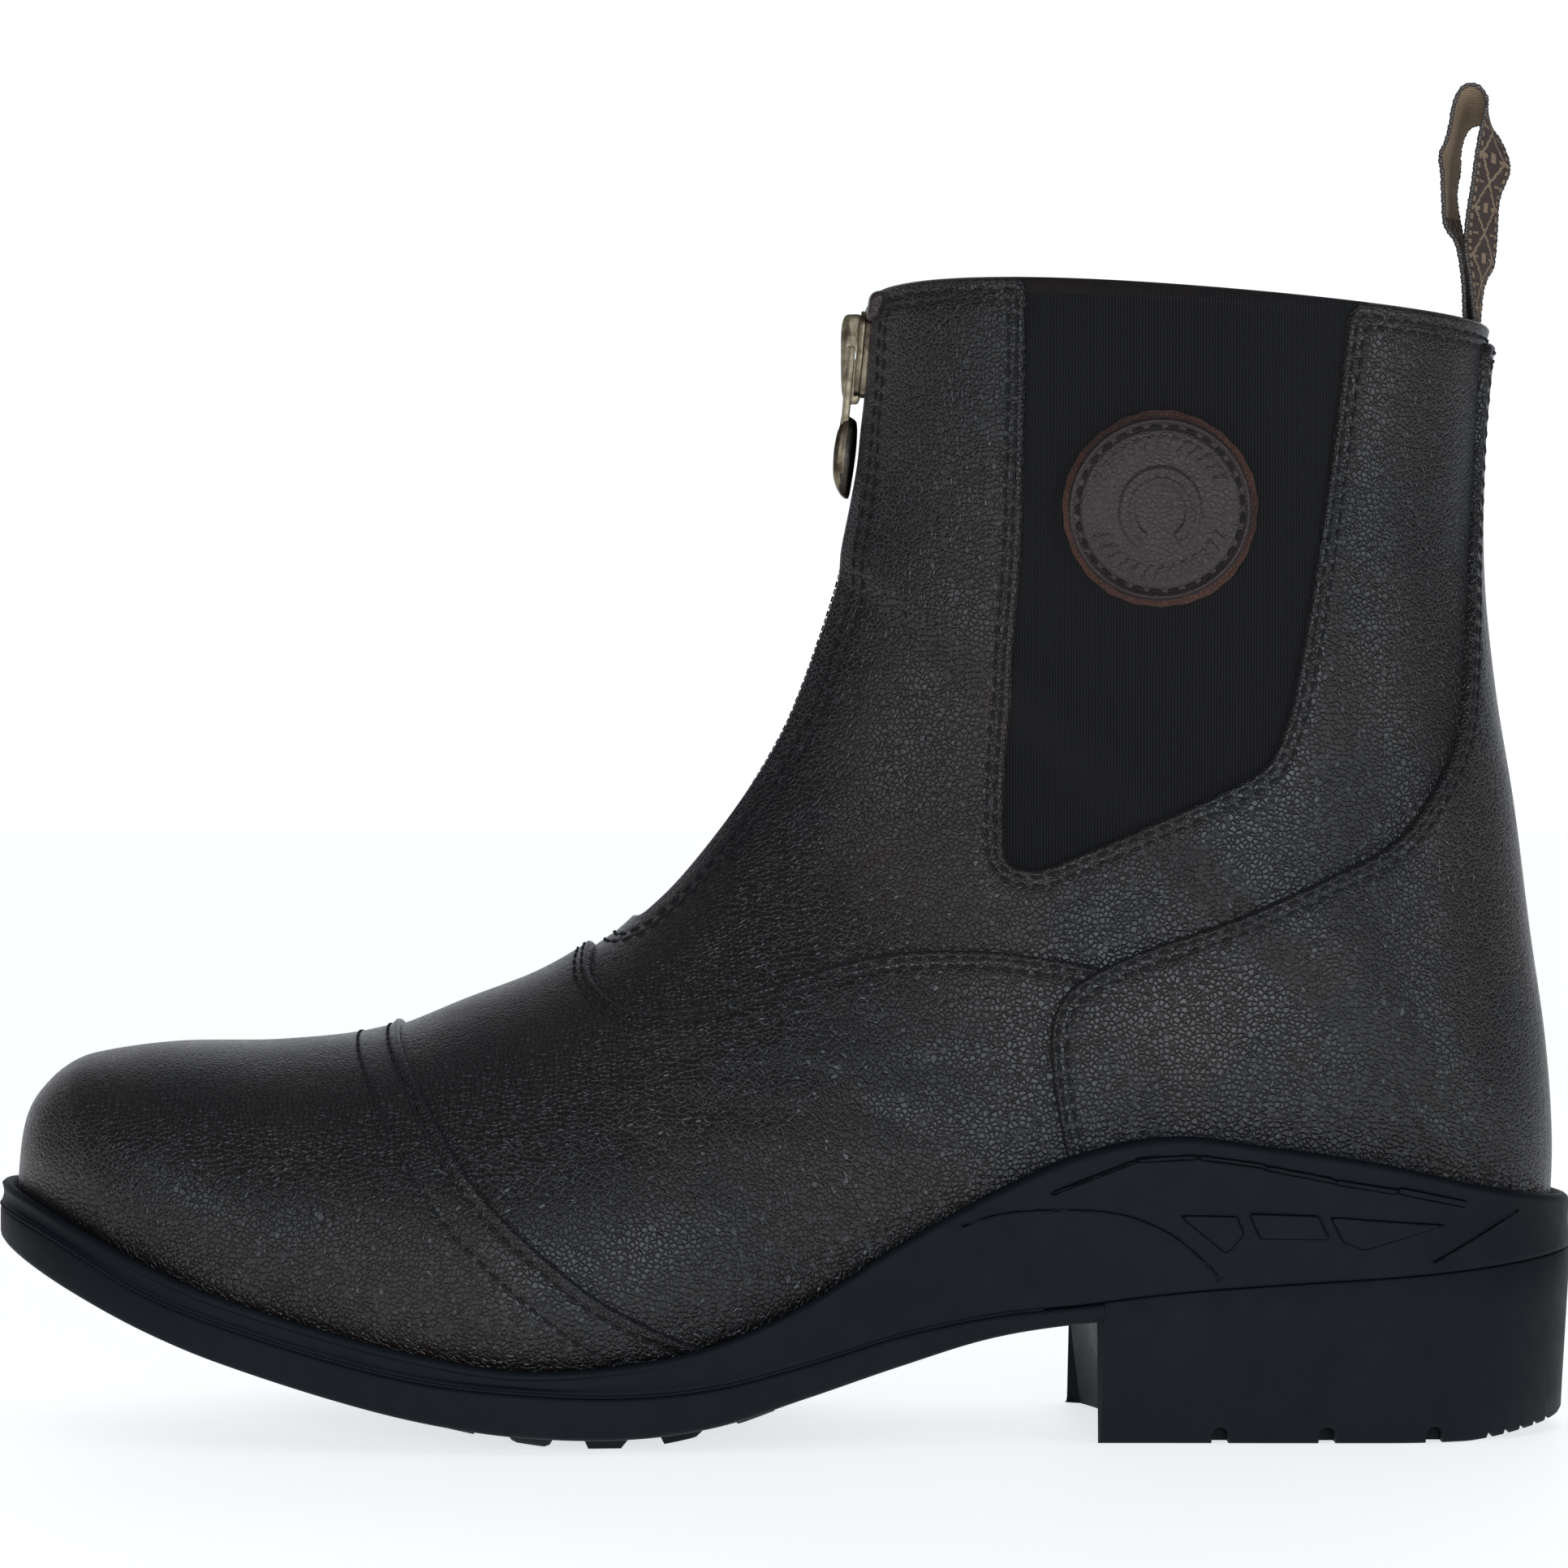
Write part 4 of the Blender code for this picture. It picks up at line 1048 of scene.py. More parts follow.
def overlay(name, inside, line, height, rows, bead=0.15 * MM, reach=0.9 * MM):
    """Cuts, folds and stitches one overlay panel."""
    bm = cut_panel(inside)
    tree = KDTree(len(line))
    for index, (x, z) in enumerate(line):
        tree.insert((x, 0, z), index)
    tree.balance()
    cut_layer = bm.verts.layers.float["inside"]

    def is_free(edge):
        return on_boundary(edge) and all(
            abs(vert[cut_layer]) < TINY and tree.find((vert.co.x, 0, vert.co.z))[2] < 2.5 * MM
            for vert in edge.verts)

    store_distance(bm, "edge", edge_points(bm, is_free))
    for level in EDGE_LEVELS:
        cut(bm, "edge", level)
    cut_seams(bm, values_of(bm, "edge"), rows)
    tall = height(places_of(bm)) if callable(height) else height
    gap = values_of(bm, "edge")
    heights = folded_edge(gap, tall, bead, reach) - grooves(values_of(bm, "seam"), rows)
    return finish_panel(bm, name, heights, rows)


def counter_height(spots):
    """The counter stands higher where it lies over the vamp."""
    over_vamp = np.clip((along(0.735) - spots[:, 0]) / (0.04 * SOLE_LENGTH), 0, 1)
    return 1.4 * MM + 0.9 * MM * over_vamp


CAP_ROWS = (2.6 * MM, 8.2 * MM)
vamp_piece = overlay("vamp_leather", vamp_inside, VAMP_LINE, 1.3 * MM, ROWS)
counter_piece = overlay("counter_leather", counter_inside, COUNTER_LINE, counter_height, ROWS)
cap_piece = overlay("toe_cap_leather", cap_inside, CAP_LINE, 1.9 * MM, CAP_ROWS, 0.55 * MM, 0.85 * MM)
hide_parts("vamp")
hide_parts("counter")
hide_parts("toe_cap")
print("stitch rows so far:", len(stitch_rows))

# %% [markdown]
# The elastic stands in its windows below the leather. It is a cloth, so it keeps its thickness and
# gets a hem at the collar, a band that is sewn over and a little thicker.

# %% Elastic windows
GORE_SINK = 1.25 * MM
HEM_DEEP = 2.4 * MM
ALLOWANCE = 3.5 * MM


def gore_inside(side):
    """Test for one side's window with a sewing allowance all round."""
    def inside(spots):
        allowance = depth_inside(spots[:, [0, 2]], GORE_LINE) + ALLOWANCE
        return np.where(spots[:, 1] * side > 0, allowance, -9 * MM)
    return inside


def gore(name, side):
    """One elastic panel with its hem."""
    bm = cut_panel(gore_inside(side))
    layer = bm.verts.layers.float["row"]

    def at_collar(edge):
        return on_boundary(edge) and min(v[layer] for v in edge.verts) > SURFACE_ROWS - 1.01

    store_distance(bm, "edge", edge_points(bm, at_collar))
    for level in (0.2 * MM, 0.5 * MM, HEM_DEEP - 0.25 * MM, HEM_DEEP, HEM_DEEP + 0.25 * MM):
        cut(bm, "edge", level)
    gap = values_of(bm, "edge")
    hem = 0.45 * MM * (1 - np.clip((gap - HEM_DEEP + 0.25 * MM) / (0.5 * MM), 0, 1))
    top = -0.9 * MM * (1 - np.sqrt(1 - (1 - np.clip(gap / (0.6 * MM), 0, 1)) ** 2))
    raise_points(bm, hem + top - GORE_SINK)
    piece = make_piece(bm, name, ELASTIC)
    piece.data.materials.append(HEM)
    collar = COLLAR_HEIGHT - HEM_DEEP
    for polygon in piece.data.polygons:
        polygon.material_index = 1 if polygon.center.z > collar else 0
    return piece


gore_outer = gore("elastic_outer", -1)
gore_inner = gore("elastic_inner", 1)
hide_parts("gore_lateral")
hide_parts("gore_medial")
print("elastic", len(gore_outer.data.polygons), "faces a side")

# %% [markdown]
# The sole is moulded in one: a cup that holds the upper, a tread under the forefoot, and a heel
# block. In shape it is a stack of rings, each the sole's outline drawn in by an inset and laid at
# a level that changes along the foot. A ring is cheap to compute and gives even quads.

# %% Rings of the sole
RING_STEPS = 400


def outline_places(at, inset, side):
    """World X and Y along one side of the sole's outline, drawn in by an inset."""
    start = inset / SOLE_LENGTH
    moved = start + at * (1 - 2 * start)
    sign = -1 if side == "outer" else 1
    return along(moved), sign * half_width(side, moved, inset)


def ring(inset, level):
    """Closed ring round the sole: level gives a height for places along the foot."""
    at = (1 - np.cos(np.linspace(0, np.pi, RING_STEPS + 1))) / 2
    height = level(at)
    sides = []
    for side in ("outer", "inner"):
        x, y = outline_places(at, inset, side)
        sides.append(np.stack((x, y, height), axis=1))
    return np.concatenate((sides[0], sides[1][-2:0:-1]))


def from_line(column, lift):
    """Level at a fixed height over one of the sole's lines."""
    return lambda at: sole_up(column, at) + lift


def between(low, high, share):
    """Level at a share of the way between two levels."""
    return lambda at: low(at) * (1 - share) + high(at) * share


def rings_mesh(rings):
    """Bmesh of quads between a closed round of rings, with normals kept as a value."""
    grid = np.array(rings)
    looped = np.concatenate((grid[:, -1:], grid, grid[:, :1]), axis=1)
    down = (np.roll(grid, -1, axis=0) - np.roll(grid, 1, axis=0)) / 2
    around = (looped[:, 2:] - looped[:, :-2]) / 2
    normals = np.cross(around, down)
    normals /= np.maximum(np.linalg.norm(normals, axis=2, keepdims=True), 1e-12)
    bm = bmesh.new()
    layer = bm.verts.layers.float_vector.new("out")
    made = []
    for points, outs in zip(grid, normals):
        row = []
        for point, out in zip(points, outs):
            vert = bm.verts.new(point)
            vert[layer] = out
            row.append(vert)
        made.append(row)
    for high, low in zip(made, made[1:] + made[:1]):
        for j in range(len(high)):
            k = (j + 1) % len(high)
            bm.faces.new((high[j], low[j], low[k], high[k]))
    return bm


print(len(ring(0.0, from_line("rim", 0.0))), "points in a ring")

# %% [markdown]
# The cup's wall is a closed band: up its inside, round the rim, down its outside and back. Over
# the forefoot the outside swells like a welt. Behind, the wall grows tall and takes the moulded
# lines.

# %% Wall of the cup
LIP = 2.7 * MM
WALL_ROWS = 48
SWELL = 0.6 * MM

rim_top = from_line("rim", -1.5 * MM)
wall_foot = from_line("ledge", 1.0 * MM)
wall_rings = [
    ring(LIP + 0.2 * MM, from_line("ledge", 0.25 * MM)),
    ring(LIP + 0.2 * MM, between(wall_foot, rim_top, 0.4)),
    ring(LIP, from_line("rim", -1.9 * MM)), ring(2.45 * MM, from_line("rim", -0.85 * MM)),
    ring(1.95 * MM, from_line("rim", -0.22 * MM)), ring(1.35 * MM, from_line("rim", 0.0)),
    ring(0.8 * MM, from_line("rim", -0.18 * MM)), ring(0.32 * MM, from_line("rim", -0.6 * MM)),
    ring(0.08 * MM, from_line("rim", -1.05 * MM)),
]
wall_rings += [ring(0.0, between(rim_top, wall_foot, share)) for share in np.linspace(0, 1, WALL_ROWS)]
for inset, lift in ((0.05, 0.35), (0.18, 0.12), (0.5, 0.03), (1.2, 0.0)):
    wall_rings.append(ring(inset * MM, from_line("ledge", lift * MM)))
wall = rings_mesh(wall_rings)
print("wall", len(wall.faces), "faces")

# %% [markdown]
# The lines moulded in the heel's side are drawn in side view, in millimetres from the toe and
# over the floor. Each becomes a value over the wall, the wall is cut along it, and the inside is
# pressed in. The slopes of the slots and shapes and the fine grooves take the darker rubber, as
# painted shade. The plate between the two shapes is bare.

# %% Moulded lines
SLOT_BARS = (
    ((186.0, 43.3), (200.4, 48.9), 0.42), ((201.0, 49.1), (210.9, 49.6), 0.55),
    ((211.9, 49.5), (222.4, 48.1), 0.55), ((223.4, 47.7), (234.3, 45.6), 0.58),
    ((235.3, 45.3), (245.0, 43.7), 0.60), ((246.2, 43.8), (257.4, 41.4), 0.72),
)
PRESSED_SHAPES = (
    ((207.7, 39.7), (218.0, 39.5), (219.3, 36.3), (216.3, 32.7)),
    ((219.9, 40.0), (232.0, 39.6), (234.1, 35.3), (221.9, 35.4)),
    ((233.9, 39.4), (254.8, 37.9), (239.9, 33.5), (236.2, 34.9)),
)
FINE_LINES = (
    ((170.0, 37.6), (176.9, 39.7), (187.4, 40.4), (197.9, 39.6), (206.3, 36.3), (213.3, 30.5),
     (215.2, 28.0)),
    ((251.4, 31.0), (258.0, 34.5), (268.0, 39.8)),
)
SLOT_DEPTH = 0.5 * MM
SLOT_SLOPE = 0.3 * MM
SHAPE_DEPTH = 0.5 * MM
SHAPE_SLOPE = 0.22 * MM
LINE_DEPTH = 0.42 * MM
LINE_HALF = 0.26 * MM


def from_toe(point):
    """World X and Z of a side-view place in millimetres."""
    return np.array((TOE_X + point[0] * MM, point[1] * MM))


def bar_depth(flat, start, end, radius):
    """Distance inside a round-ended bar."""
    a, b = from_toe(start), from_toe(end)
    way = b - a
    share = np.clip(((flat - a) @ way) / (way @ way), 0, 1)
    return radius * MM - np.linalg.norm(flat - a - share[:, None] * way, axis=1)


def press(bm, name, inside, depth, slope):
    """Presses the region where a value is over nothing into the surface, with painted shade on its slope."""
    values = np.clip(inside, -2 * MM, 2 * MM)
    store(bm, name, values)
    for level in (0.0, slope):
        cut(bm, name, level)
    values = values_of(bm, name)
    raise_points(bm, -depth * np.clip(values / slope, 0, 1))
    layer = bm.verts.layers.float[name]
    for face in bm.faces:
        values = [vert[layer] for vert in face.verts]
        if min(values) > -TINY and max(values) < slope + TINY:
            face.material_index = 1


def outside_wall(spots):
    """Side-view places, with those off the outer wall moved far away."""
    flat = spots[:, [0, 2]].copy()
    inset = half_width("outer", np.clip((spots[:, 0] - TOE_X) / SOLE_LENGTH, 0, 1)) + spots[:, 1]
    flat[(spots[:, 1] > 0) | (inset > 2.2 * MM)] += 1.0
    return flat


def off_line(flat, line):
    """Signed and plain distance from a line, endless past its ends."""
    way = np.gradient(line, axis=0)
    way /= np.linalg.norm(way, axis=1, keepdims=True)
    rel = flat[:, None] - line[None]
    near = np.argmin((rel ** 2).sum(axis=2), axis=1)
    rel = rel[np.arange(len(flat)), near]
    side = rel[:, 0] * way[near, 1] - rel[:, 1] * way[near, 0]
    past = (near == 0) | (near == len(line) - 1)
    return side, np.where(past, 1.0, np.linalg.norm(rel, axis=1))


def press_line(bm, name, points):
    """Presses a thin groove along a line drawn through side-view places, with painted shade in it."""
    line = smooth_line([from_toe(point) for point in points], 0.25 * MM)
    for level in (-LINE_HALF, 0.0, LINE_HALF):
        side, away = off_line(outside_wall(places_of(bm)), line)
        store(bm, name, np.where(away < 3 * MM, side, 3 * MM))
        cut(bm, name, level)
    side, away = off_line(outside_wall(places_of(bm)), line)
    away = np.maximum(np.abs(side), np.where(away < LINE_HALF + 0.1 * MM, 0, away))
    store(bm, name, away)
    raise_points(bm, -LINE_DEPTH * np.clip(1 - away / LINE_HALF, 0, 1))
    layer = bm.verts.layers.float[name]
    for face in bm.faces:
        if max(vert[layer] for vert in face.verts) < LINE_HALF + TINY:
            face.material_index = 1


flat = outside_wall(places_of(wall))
slots = [bar_depth(flat, *bar) for bar in SLOT_BARS]
press(wall, "slot", np.max(slots, axis=0), SLOT_DEPTH, SLOT_SLOPE)
flat = outside_wall(places_of(wall))
shapes = [depth_inside(flat, [from_toe(point) for point in shape]) for shape in PRESSED_SHAPES]
press(wall, "shapes", np.max(shapes, axis=0), SHAPE_DEPTH, SHAPE_SLOPE)
for number, points in enumerate(FINE_LINES):
    press_line(wall, f"line_{number}", points)
spots = places_of(wall)
at = np.clip((spots[:, 0] - TOE_X) / SOLE_LENGTH, 0, 1)
share = np.clip((spots[:, 2] - sole_up("ledge", at)) / (sole_up("rim", at) - sole_up("ledge", at)), 0, 1)
fore = np.interp(at, (0, 0.45, 0.62, 1), (1, 1, 0.45, 0.35))
inset = np.where(spots[:, 1] < 0, half_width("outer", at), half_width("inner", at)) - np.abs(spots[:, 1])
raise_points(wall, SWELL * fore * np.sin(np.pi * share) * (inset < 1.6 * MM))
wall_piece = make_piece(wall, "sole_cup", RUBBER)
# Painted shade: the second finish darkens the pressed slopes and the fine grooves.
wall_piece.data.materials.append(RUBBER_PAINTED_SHADE)
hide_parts("sole_unit")
print("cup wall", len(wall_piece.data.polygons), "faces")

# %% [markdown]
# The tread layer runs from the toe to the heel's breast. Its side is one smooth band with a soft
# lower edge, and low bars cross its underside. Under the ball they reach the floor.

# %% Tread layer
BREAST_OUTER = 0.697
BREAST_INNER = 0.688
BREAST_DEPTH = 0.026
BREAST_REACH = BALL_WIDTH * 0.35
TREAD_ACROSS = 90
TREAD_ALONG = 320
BAR_PITCH = 12.9 * MM
BAR_HALF = 3.5 * MM
BAR_INSET = 8 * MM
BAR_FIRST = along(0.160)
BAR_LAST = along(0.620)


def breast_at(y):
    """Where the heel's concave breast begins, as a share of the sole's length."""
    share = np.clip(y / BREAST_REACH, -1, 1)
    edge = BREAST_OUTER + (BREAST_INNER - BREAST_OUTER) * (share + 1) / 2
    return edge + BREAST_DEPTH * (1 - share ** 2)


def bars(x, y, at, tread):
    """How far the bars stand down from the tread."""
    offset = np.abs((x - BAR_FIRST + BAR_PITCH / 2) % BAR_PITCH - BAR_PITCH / 2)
    side = np.minimum(half_width("outer", at) + y, half_width("inner", at) - y) - BAR_INSET
    inside = np.minimum(BAR_HALF - offset, side)
    inside = np.where((x > BAR_FIRST - BAR_HALF) & (x < BAR_LAST + BAR_HALF), inside, -1)
    ball = np.exp(-((at - 0.385) / 0.075) ** 2)
    drop = np.minimum(0.7 * MM + 1.7 * MM * ball, tread)
    return drop * np.clip(inside / (0.7 * MM) + 0.5, 0, 1)


def block(first_at, last_at, insets, levels, underside, along_steps, across_steps):
    """Solid under the foot: walls from insets and levels, and an underside between them.

    first_at and last_at give the share of the sole's length at the ends for a sideways place."""
    grid = []
    spread_at = (1 - np.cos(np.linspace(0, np.pi, along_steps + 1))) / 2
    for share in spread_at:
        outer, inner = [], []
        for side, row in (("outer", outer), ("inner", inner)):
            reach = -BREAST_REACH if side == "outer" else BREAST_REACH
            a, b = first_at(np.array(reach)), last_at(np.array(reach))
            at = np.array([float(a + (b - a) * share)])
            for inset, level in zip(insets, levels):
                x, y = outline_places(at, inset, side)
                row.append((x[0], y[0], level(at)[0]))
        start, end = np.array(outer[-1]), np.array(inner[-1])
        w = np.linspace(0, 1, across_steps + 1)[1:-1]
        y = start[1] + (end[1] - start[1]) * w
        a, b = first_at(y), last_at(y)
        at = a + (b - a) * share
        base = insets[-1] / SOLE_LENGTH
        x = along(base + at * (1 - 2 * base))
        z = underside(x, y, at)
        grid.append(np.concatenate((outer, np.stack((x, y, z), axis=1), inner[::-1])))
    return np.array(grid)


def block_mesh(grid):
    """Bmesh of a block, with its top and ends closed."""
    bm = bmesh.new()
    made = [[bm.verts.new(point) for point in row] for row in grid]
    for low, high in zip(made, made[1:]):
        for j in range(len(low) - 1):
            bm.faces.new((low[j], high[j], high[j + 1], low[j + 1]))
        bm.faces.new((low[-1], high[-1], high[0], low[0]))
    for row, flip in ((made[0], False), (made[-1], True)):
        face = bm.faces.new(row[::-1] if flip else row)
        bmesh.ops.triangulate(bm, faces=[face])
    bmesh.ops.remove_doubles(bm, verts=bm.verts, dist=1e-6)
    bmesh.ops.recalc_face_normals(bm, faces=bm.faces)
    return bm


def smooth_by_angle(piece, angle=35):
    """Smooth shading that keeps corners sharper than an angle."""
    piece.data.set_sharp_from_angle(angle=math.radians(angle))


TREAD_INSETS = np.array((3.0, 0.5, 0.12, 0.0, 0.0, 0.0, 0.12, 0.45, 1.0, 1.9, 3.0)) * MM
TREAD_LEVELS = (
    from_line("ledge", -0.2 * MM), from_line("ledge", -0.2 * MM), from_line("ledge", -0.5 * MM),
    from_line("ledge", -1.0 * MM), between(from_line("ledge", -1.0 * MM), from_line("tread", 1.6 * MM), 0.5),
    from_line("tread", 1.6 * MM), from_line("tread", 1.0 * MM), from_line("tread", 0.5 * MM),
    from_line("tread", 0.2 * MM), from_line("tread", 0.03 * MM), from_line("tread", 0.0),
)


def tread_underside(x, y, at):
    tread = sole_up("tread", at)
    return tread - bars(x, y, at, tread)


tread_grid = block(lambda y: 0.0 * y, lambda y: breast_at(y) + 0.002, TREAD_INSETS, TREAD_LEVELS,
                   tread_underside, TREAD_ALONG, TREAD_ACROSS)
tread_piece = make_piece(block_mesh(tread_grid), "tread_layer", RUBBER)
smooth_by_angle(tread_piece, 50)
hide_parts("outsole")
print("tread layer", len(tread_piece.data.polygons), "faces")

# %% [markdown]
# The heel block stands on the floor behind its breast. Its lower back edge is bevelled and cut
# into small teeth, and three arched notches are cut in each side, which a boolean does exactly.

# %% Heel block
HEEL_ALONG = 130
HEEL_ACROSS = 40
BEVEL_RISE = 2.6 * MM
BEVEL_FROM = 0.930
NOTCHES_AT = (215.2, 233.7, 252.3)
NOTCH_WIDTH = 3.0 * MM
NOTCH_HEIGHT = 2.9 * MM
NOTCH_DEPTH = 7 * MM
TEETH_FROM_TOE = (262.4, 265.6, 268.6, 271.4, 274.0)


def heel_floor(lift):
    """Level over the floor, which the back bevel raises."""
    def level(at):
        share = (np.asarray(at) - BEVEL_FROM) / (1 - BEVEL_FROM)
        return lift + BEVEL_RISE * np.clip(share, 0, 1) ** 1.3
    return level


HEEL_INSETS = np.array((3.0, 0.3, -0.05, -0.18, 0.3, 0.7, 1.2, 1.5, 1.9, 2.6)) * MM
heel_head = from_line("ledge", -1.0 * MM)
heel_foot = heel_floor(1.2 * MM)
HEEL_LEVELS = (
    from_line("ledge", 0.05 * MM), from_line("ledge", 0.05 * MM), from_line("ledge", -0.10 * MM),
    from_line("ledge", -0.35 * MM), between(heel_head, heel_foot, 0.25),
    between(heel_head, heel_foot, 0.5), between(heel_head, heel_foot, 0.8),
    heel_floor(1.0 * MM), heel_floor(0.25 * MM), heel_floor(0.0),
)
heel_grid = block(breast_at, lambda y: 1.0 + 0.0 * y, HEEL_INSETS, HEEL_LEVELS,
                  lambda x, y, at: heel_floor(0.0)(at), HEEL_ALONG, HEEL_ACROSS)
heel_piece = make_piece(block_mesh(heel_grid), "heel_block", RUBBER)


def prism_mesh(outline, low, high, name):
    """Object of a side-view outline drawn out along Y."""
    bm = bmesh.new()
    near = [bm.verts.new((x, low, z)) for x, z in outline]
    far = [bm.verts.new((x, high, z)) for x, z in outline]
    bm.faces.new(near)
    bm.faces.new(far[::-1])
    for j in range(len(outline)):
        k = (j + 1) % len(outline)
        bm.faces.new((near[j], far[j], far[k], near[k]))
    bmesh.ops.recalc_face_normals(bm, faces=bm.faces)
    mesh = bpy.data.meshes.new(name)
    bm.to_mesh(mesh)
    bm.free()
    return bpy.data.objects.new(name, mesh)


def carve(piece, cutters):
    """Takes cutters out of a piece and deletes them."""
    for cutter in cutters:
        bpy.context.scene.collection.objects.link(cutter)
        step = piece.modifiers.new("carve", "BOOLEAN")
        step.object = cutter
        step.operation = "DIFFERENCE"
        step.solver = "EXACT"
    graph = bpy.context.evaluated_depsgraph_get()
    done = bpy.data.meshes.new_from_object(piece.evaluated_get(graph))
    piece.modifiers.clear()
    old = piece.data
    piece.data = done
    bpy.data.meshes.remove(old)
    for cutter in cutters:
        mesh = cutter.data
        bpy.data.objects.remove(cutter)
        bpy.data.meshes.remove(mesh)


cutters = []
for from_tip in NOTCHES_AT:
    x = TOE_X + from_tip * MM
    radius = NOTCH_WIDTH / 2
    arch = [(x - radius, -1 * MM), (x + radius, -1 * MM)]
    for turn in np.linspace(0, math.pi, 9):
        arch.append((x + radius * math.cos(turn), NOTCH_HEIGHT - radius + radius * math.sin(turn)))
    at = np.array([from_tip * MM / SOLE_LENGTH])
    near = -half_width("outer", at)[0]
    far = half_width("inner", at)[0]
    cutters.append(prism_mesh(arch, near - 2 * MM, near + NOTCH_DEPTH, "notch"))
    cutters.append(prism_mesh(arch, far - NOTCH_DEPTH, far + 2 * MM, "notch"))
for from_tip in TEETH_FROM_TOE:
    x = TOE_X + from_tip * MM
    rise = float(heel_floor(0.0)(from_tip * MM / SOLE_LENGTH))
    tooth = [(x - 0.9 * MM, -1 * MM), (x + 0.9 * MM, -1 * MM), (x + 0.55 * MM, rise + 1.1 * MM),
             (x - 0.25 * MM, rise + 1.25 * MM)]
    cutters.append(prism_mesh(tooth, -BALL_WIDTH / 2, BALL_WIDTH / 2, "tooth"))
carve(heel_piece, cutters)
smooth_by_angle(heel_piece)
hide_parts("heel")
print("heel block", len(heel_piece.data.polygons), "faces")

# %% [markdown]
# A fine cord is moulded in the groove between cup and tread. It is a thin tube whose radius rises
# and falls, so it reads as twisted.

# %% Moulded cord
CORD_RADIUS = 0.30 * MM
CORD_PITCH = 1.0 * MM
CORD_STEP = 0.25 * MM
CORD_END = 0.66


def cord_along(side):
    """Evenly spaced centres along the groove on one side."""
    at = (1 - np.cos(np.linspace(0, math.pi / 2, 400))) * CORD_END
    x, y = outline_places(at, 0.25 * MM, side)
    line = np.stack((x, y, sole_up("ledge", at)), axis=1)
    run = run_along(line)
    return read_along(np.arange(0, run[-1], CORD_STEP), run, line)


BEAD_SIDES = 6


def beaded_tube(bm, centres, radius):
    """Tube through some centres, with a radius for each."""
    way = np.gradient(centres, axis=0)
    way /= np.linalg.norm(way, axis=1, keepdims=True)
    up_way = np.array((0, 0, 1.0)) - way * way[:, 2:3]
    up_way /= np.linalg.norm(up_way, axis=1, keepdims=True)
    across = np.cross(way, up_way)
    rows = []
    for centre, u, v, size in zip(centres, across, up_way, radius):
        turns = np.linspace(0, 2 * math.pi, BEAD_SIDES, endpoint=False)
        rows.append([bm.verts.new(centre + size * (u * math.cos(t) + v * math.sin(t))) for t in turns])
    for low, high in zip(rows, rows[1:]):
        for j in range(BEAD_SIDES):
            k = (j + 1) % BEAD_SIDES
            bm.faces.new((low[j], low[k], high[k], high[j]))
    bm.faces.new(rows[0][::-1])
    bm.faces.new(rows[-1])


cord = bmesh.new()
for side in ("outer", "inner"):
    centres = cord_along(side)
    phase = np.arange(len(centres)) * CORD_STEP / CORD_PITCH * 2 * math.pi
    beaded_tube(cord, centres, CORD_RADIUS * (1 + 0.22 * np.sin(phase)))
cord_piece = make_piece(cord, "moulded_cord", RUBBER)
print("cord", len(cord_piece.data.polygons), "faces")

# %% [markdown]
# Pins and threads are both round bars along a line of centres, so one helper makes them.

# %% Round bar
def add_tube(bm, centres, radius, out, sides=6):
    """Adds a closed tube through some centres."""
    rings = []
    for i, centre in enumerate(centres):
        way = (centres[min(i + 1, len(centres) - 1)] - centres[max(i - 1, 0)]).normalized()
        across = way.cross(out).normalized()
        rise = across.cross(way).normalized()
        ring = []
        for step in range(sides):
            turn = 2 * math.pi * step / sides
            way_out = across * math.cos(turn) + rise * math.sin(turn)
            ring.append(bm.verts.new(centre + radius * way_out))
        rings.append(ring)
    for low, high in zip(rings, rings[1:]):
        for step in range(sides):
            after = (step + 1) % sides
            bm.faces.new((low[step], low[after], high[after], high[step]))
    bm.faces.new(rings[0][::-1])
    bm.faces.new(rings[-1])


print("round bar ready")

# %% [markdown]
# The badge is a disc of stamped leather, glued flat to the elastic and stitched round. It is stiff,
# so it bridges the ribs: its base is one smooth patch fitted through the last's points behind it.
# Its middle carries a rope border and a horseshoe, common stable ornaments.

# %% Badge
BADGE_RADIUS = 17 * MM
BADGE_X = along(0.732)
BADGE_Z = up(0.802)
BADGE_RINGS = 74
BADGE_STEPS = 260
BADGE_SEAT = -1.0 * MM
BADGE_SEAM = 0.835

near_badge = SURFACE.reshape(-1, 3)
near_badge = near_badge[(near_badge[:, 1] < 0) & (
    np.hypot(near_badge[:, 0] - BADGE_X, near_badge[:, 2] - BADGE_Z) < BADGE_RADIUS * 1.3)]


def patch_terms(x, z):
    """Powers of a place on the badge's patch."""
    u = (x - BADGE_X) / BADGE_RADIUS
    v = (z - BADGE_Z) / BADGE_RADIUS
    return np.stack((np.ones_like(u), u, v, u * u, u * v, v * v, u ** 3, u * u * v, u * v * v, v ** 3), -1)


PATCH = np.linalg.lstsq(patch_terms(near_badge[:, 0], near_badge[:, 2]), near_badge[:, 1], rcond=None)[0]


def badge_place(x, z):
    """Point and normal of the smooth patch under the badge."""
    step = 0.1 * MM
    y = patch_terms(x, z) @ PATCH
    slope_x = (patch_terms(x + step, z) @ PATCH - y) / step
    slope_z = (patch_terms(x, z + step) @ PATCH - y) / step
    normal = np.stack((slope_x, -np.ones_like(x), slope_z), -1)
    return np.stack((x, y, z), -1), normal / np.linalg.norm(normal, axis=-1, keepdims=True)


def step_up(value, width):
    """Soft step from 0 to 1 round nothing."""
    share = np.clip(value / width + 0.5, 0, 1)
    return share * share * (3 - 2 * share)


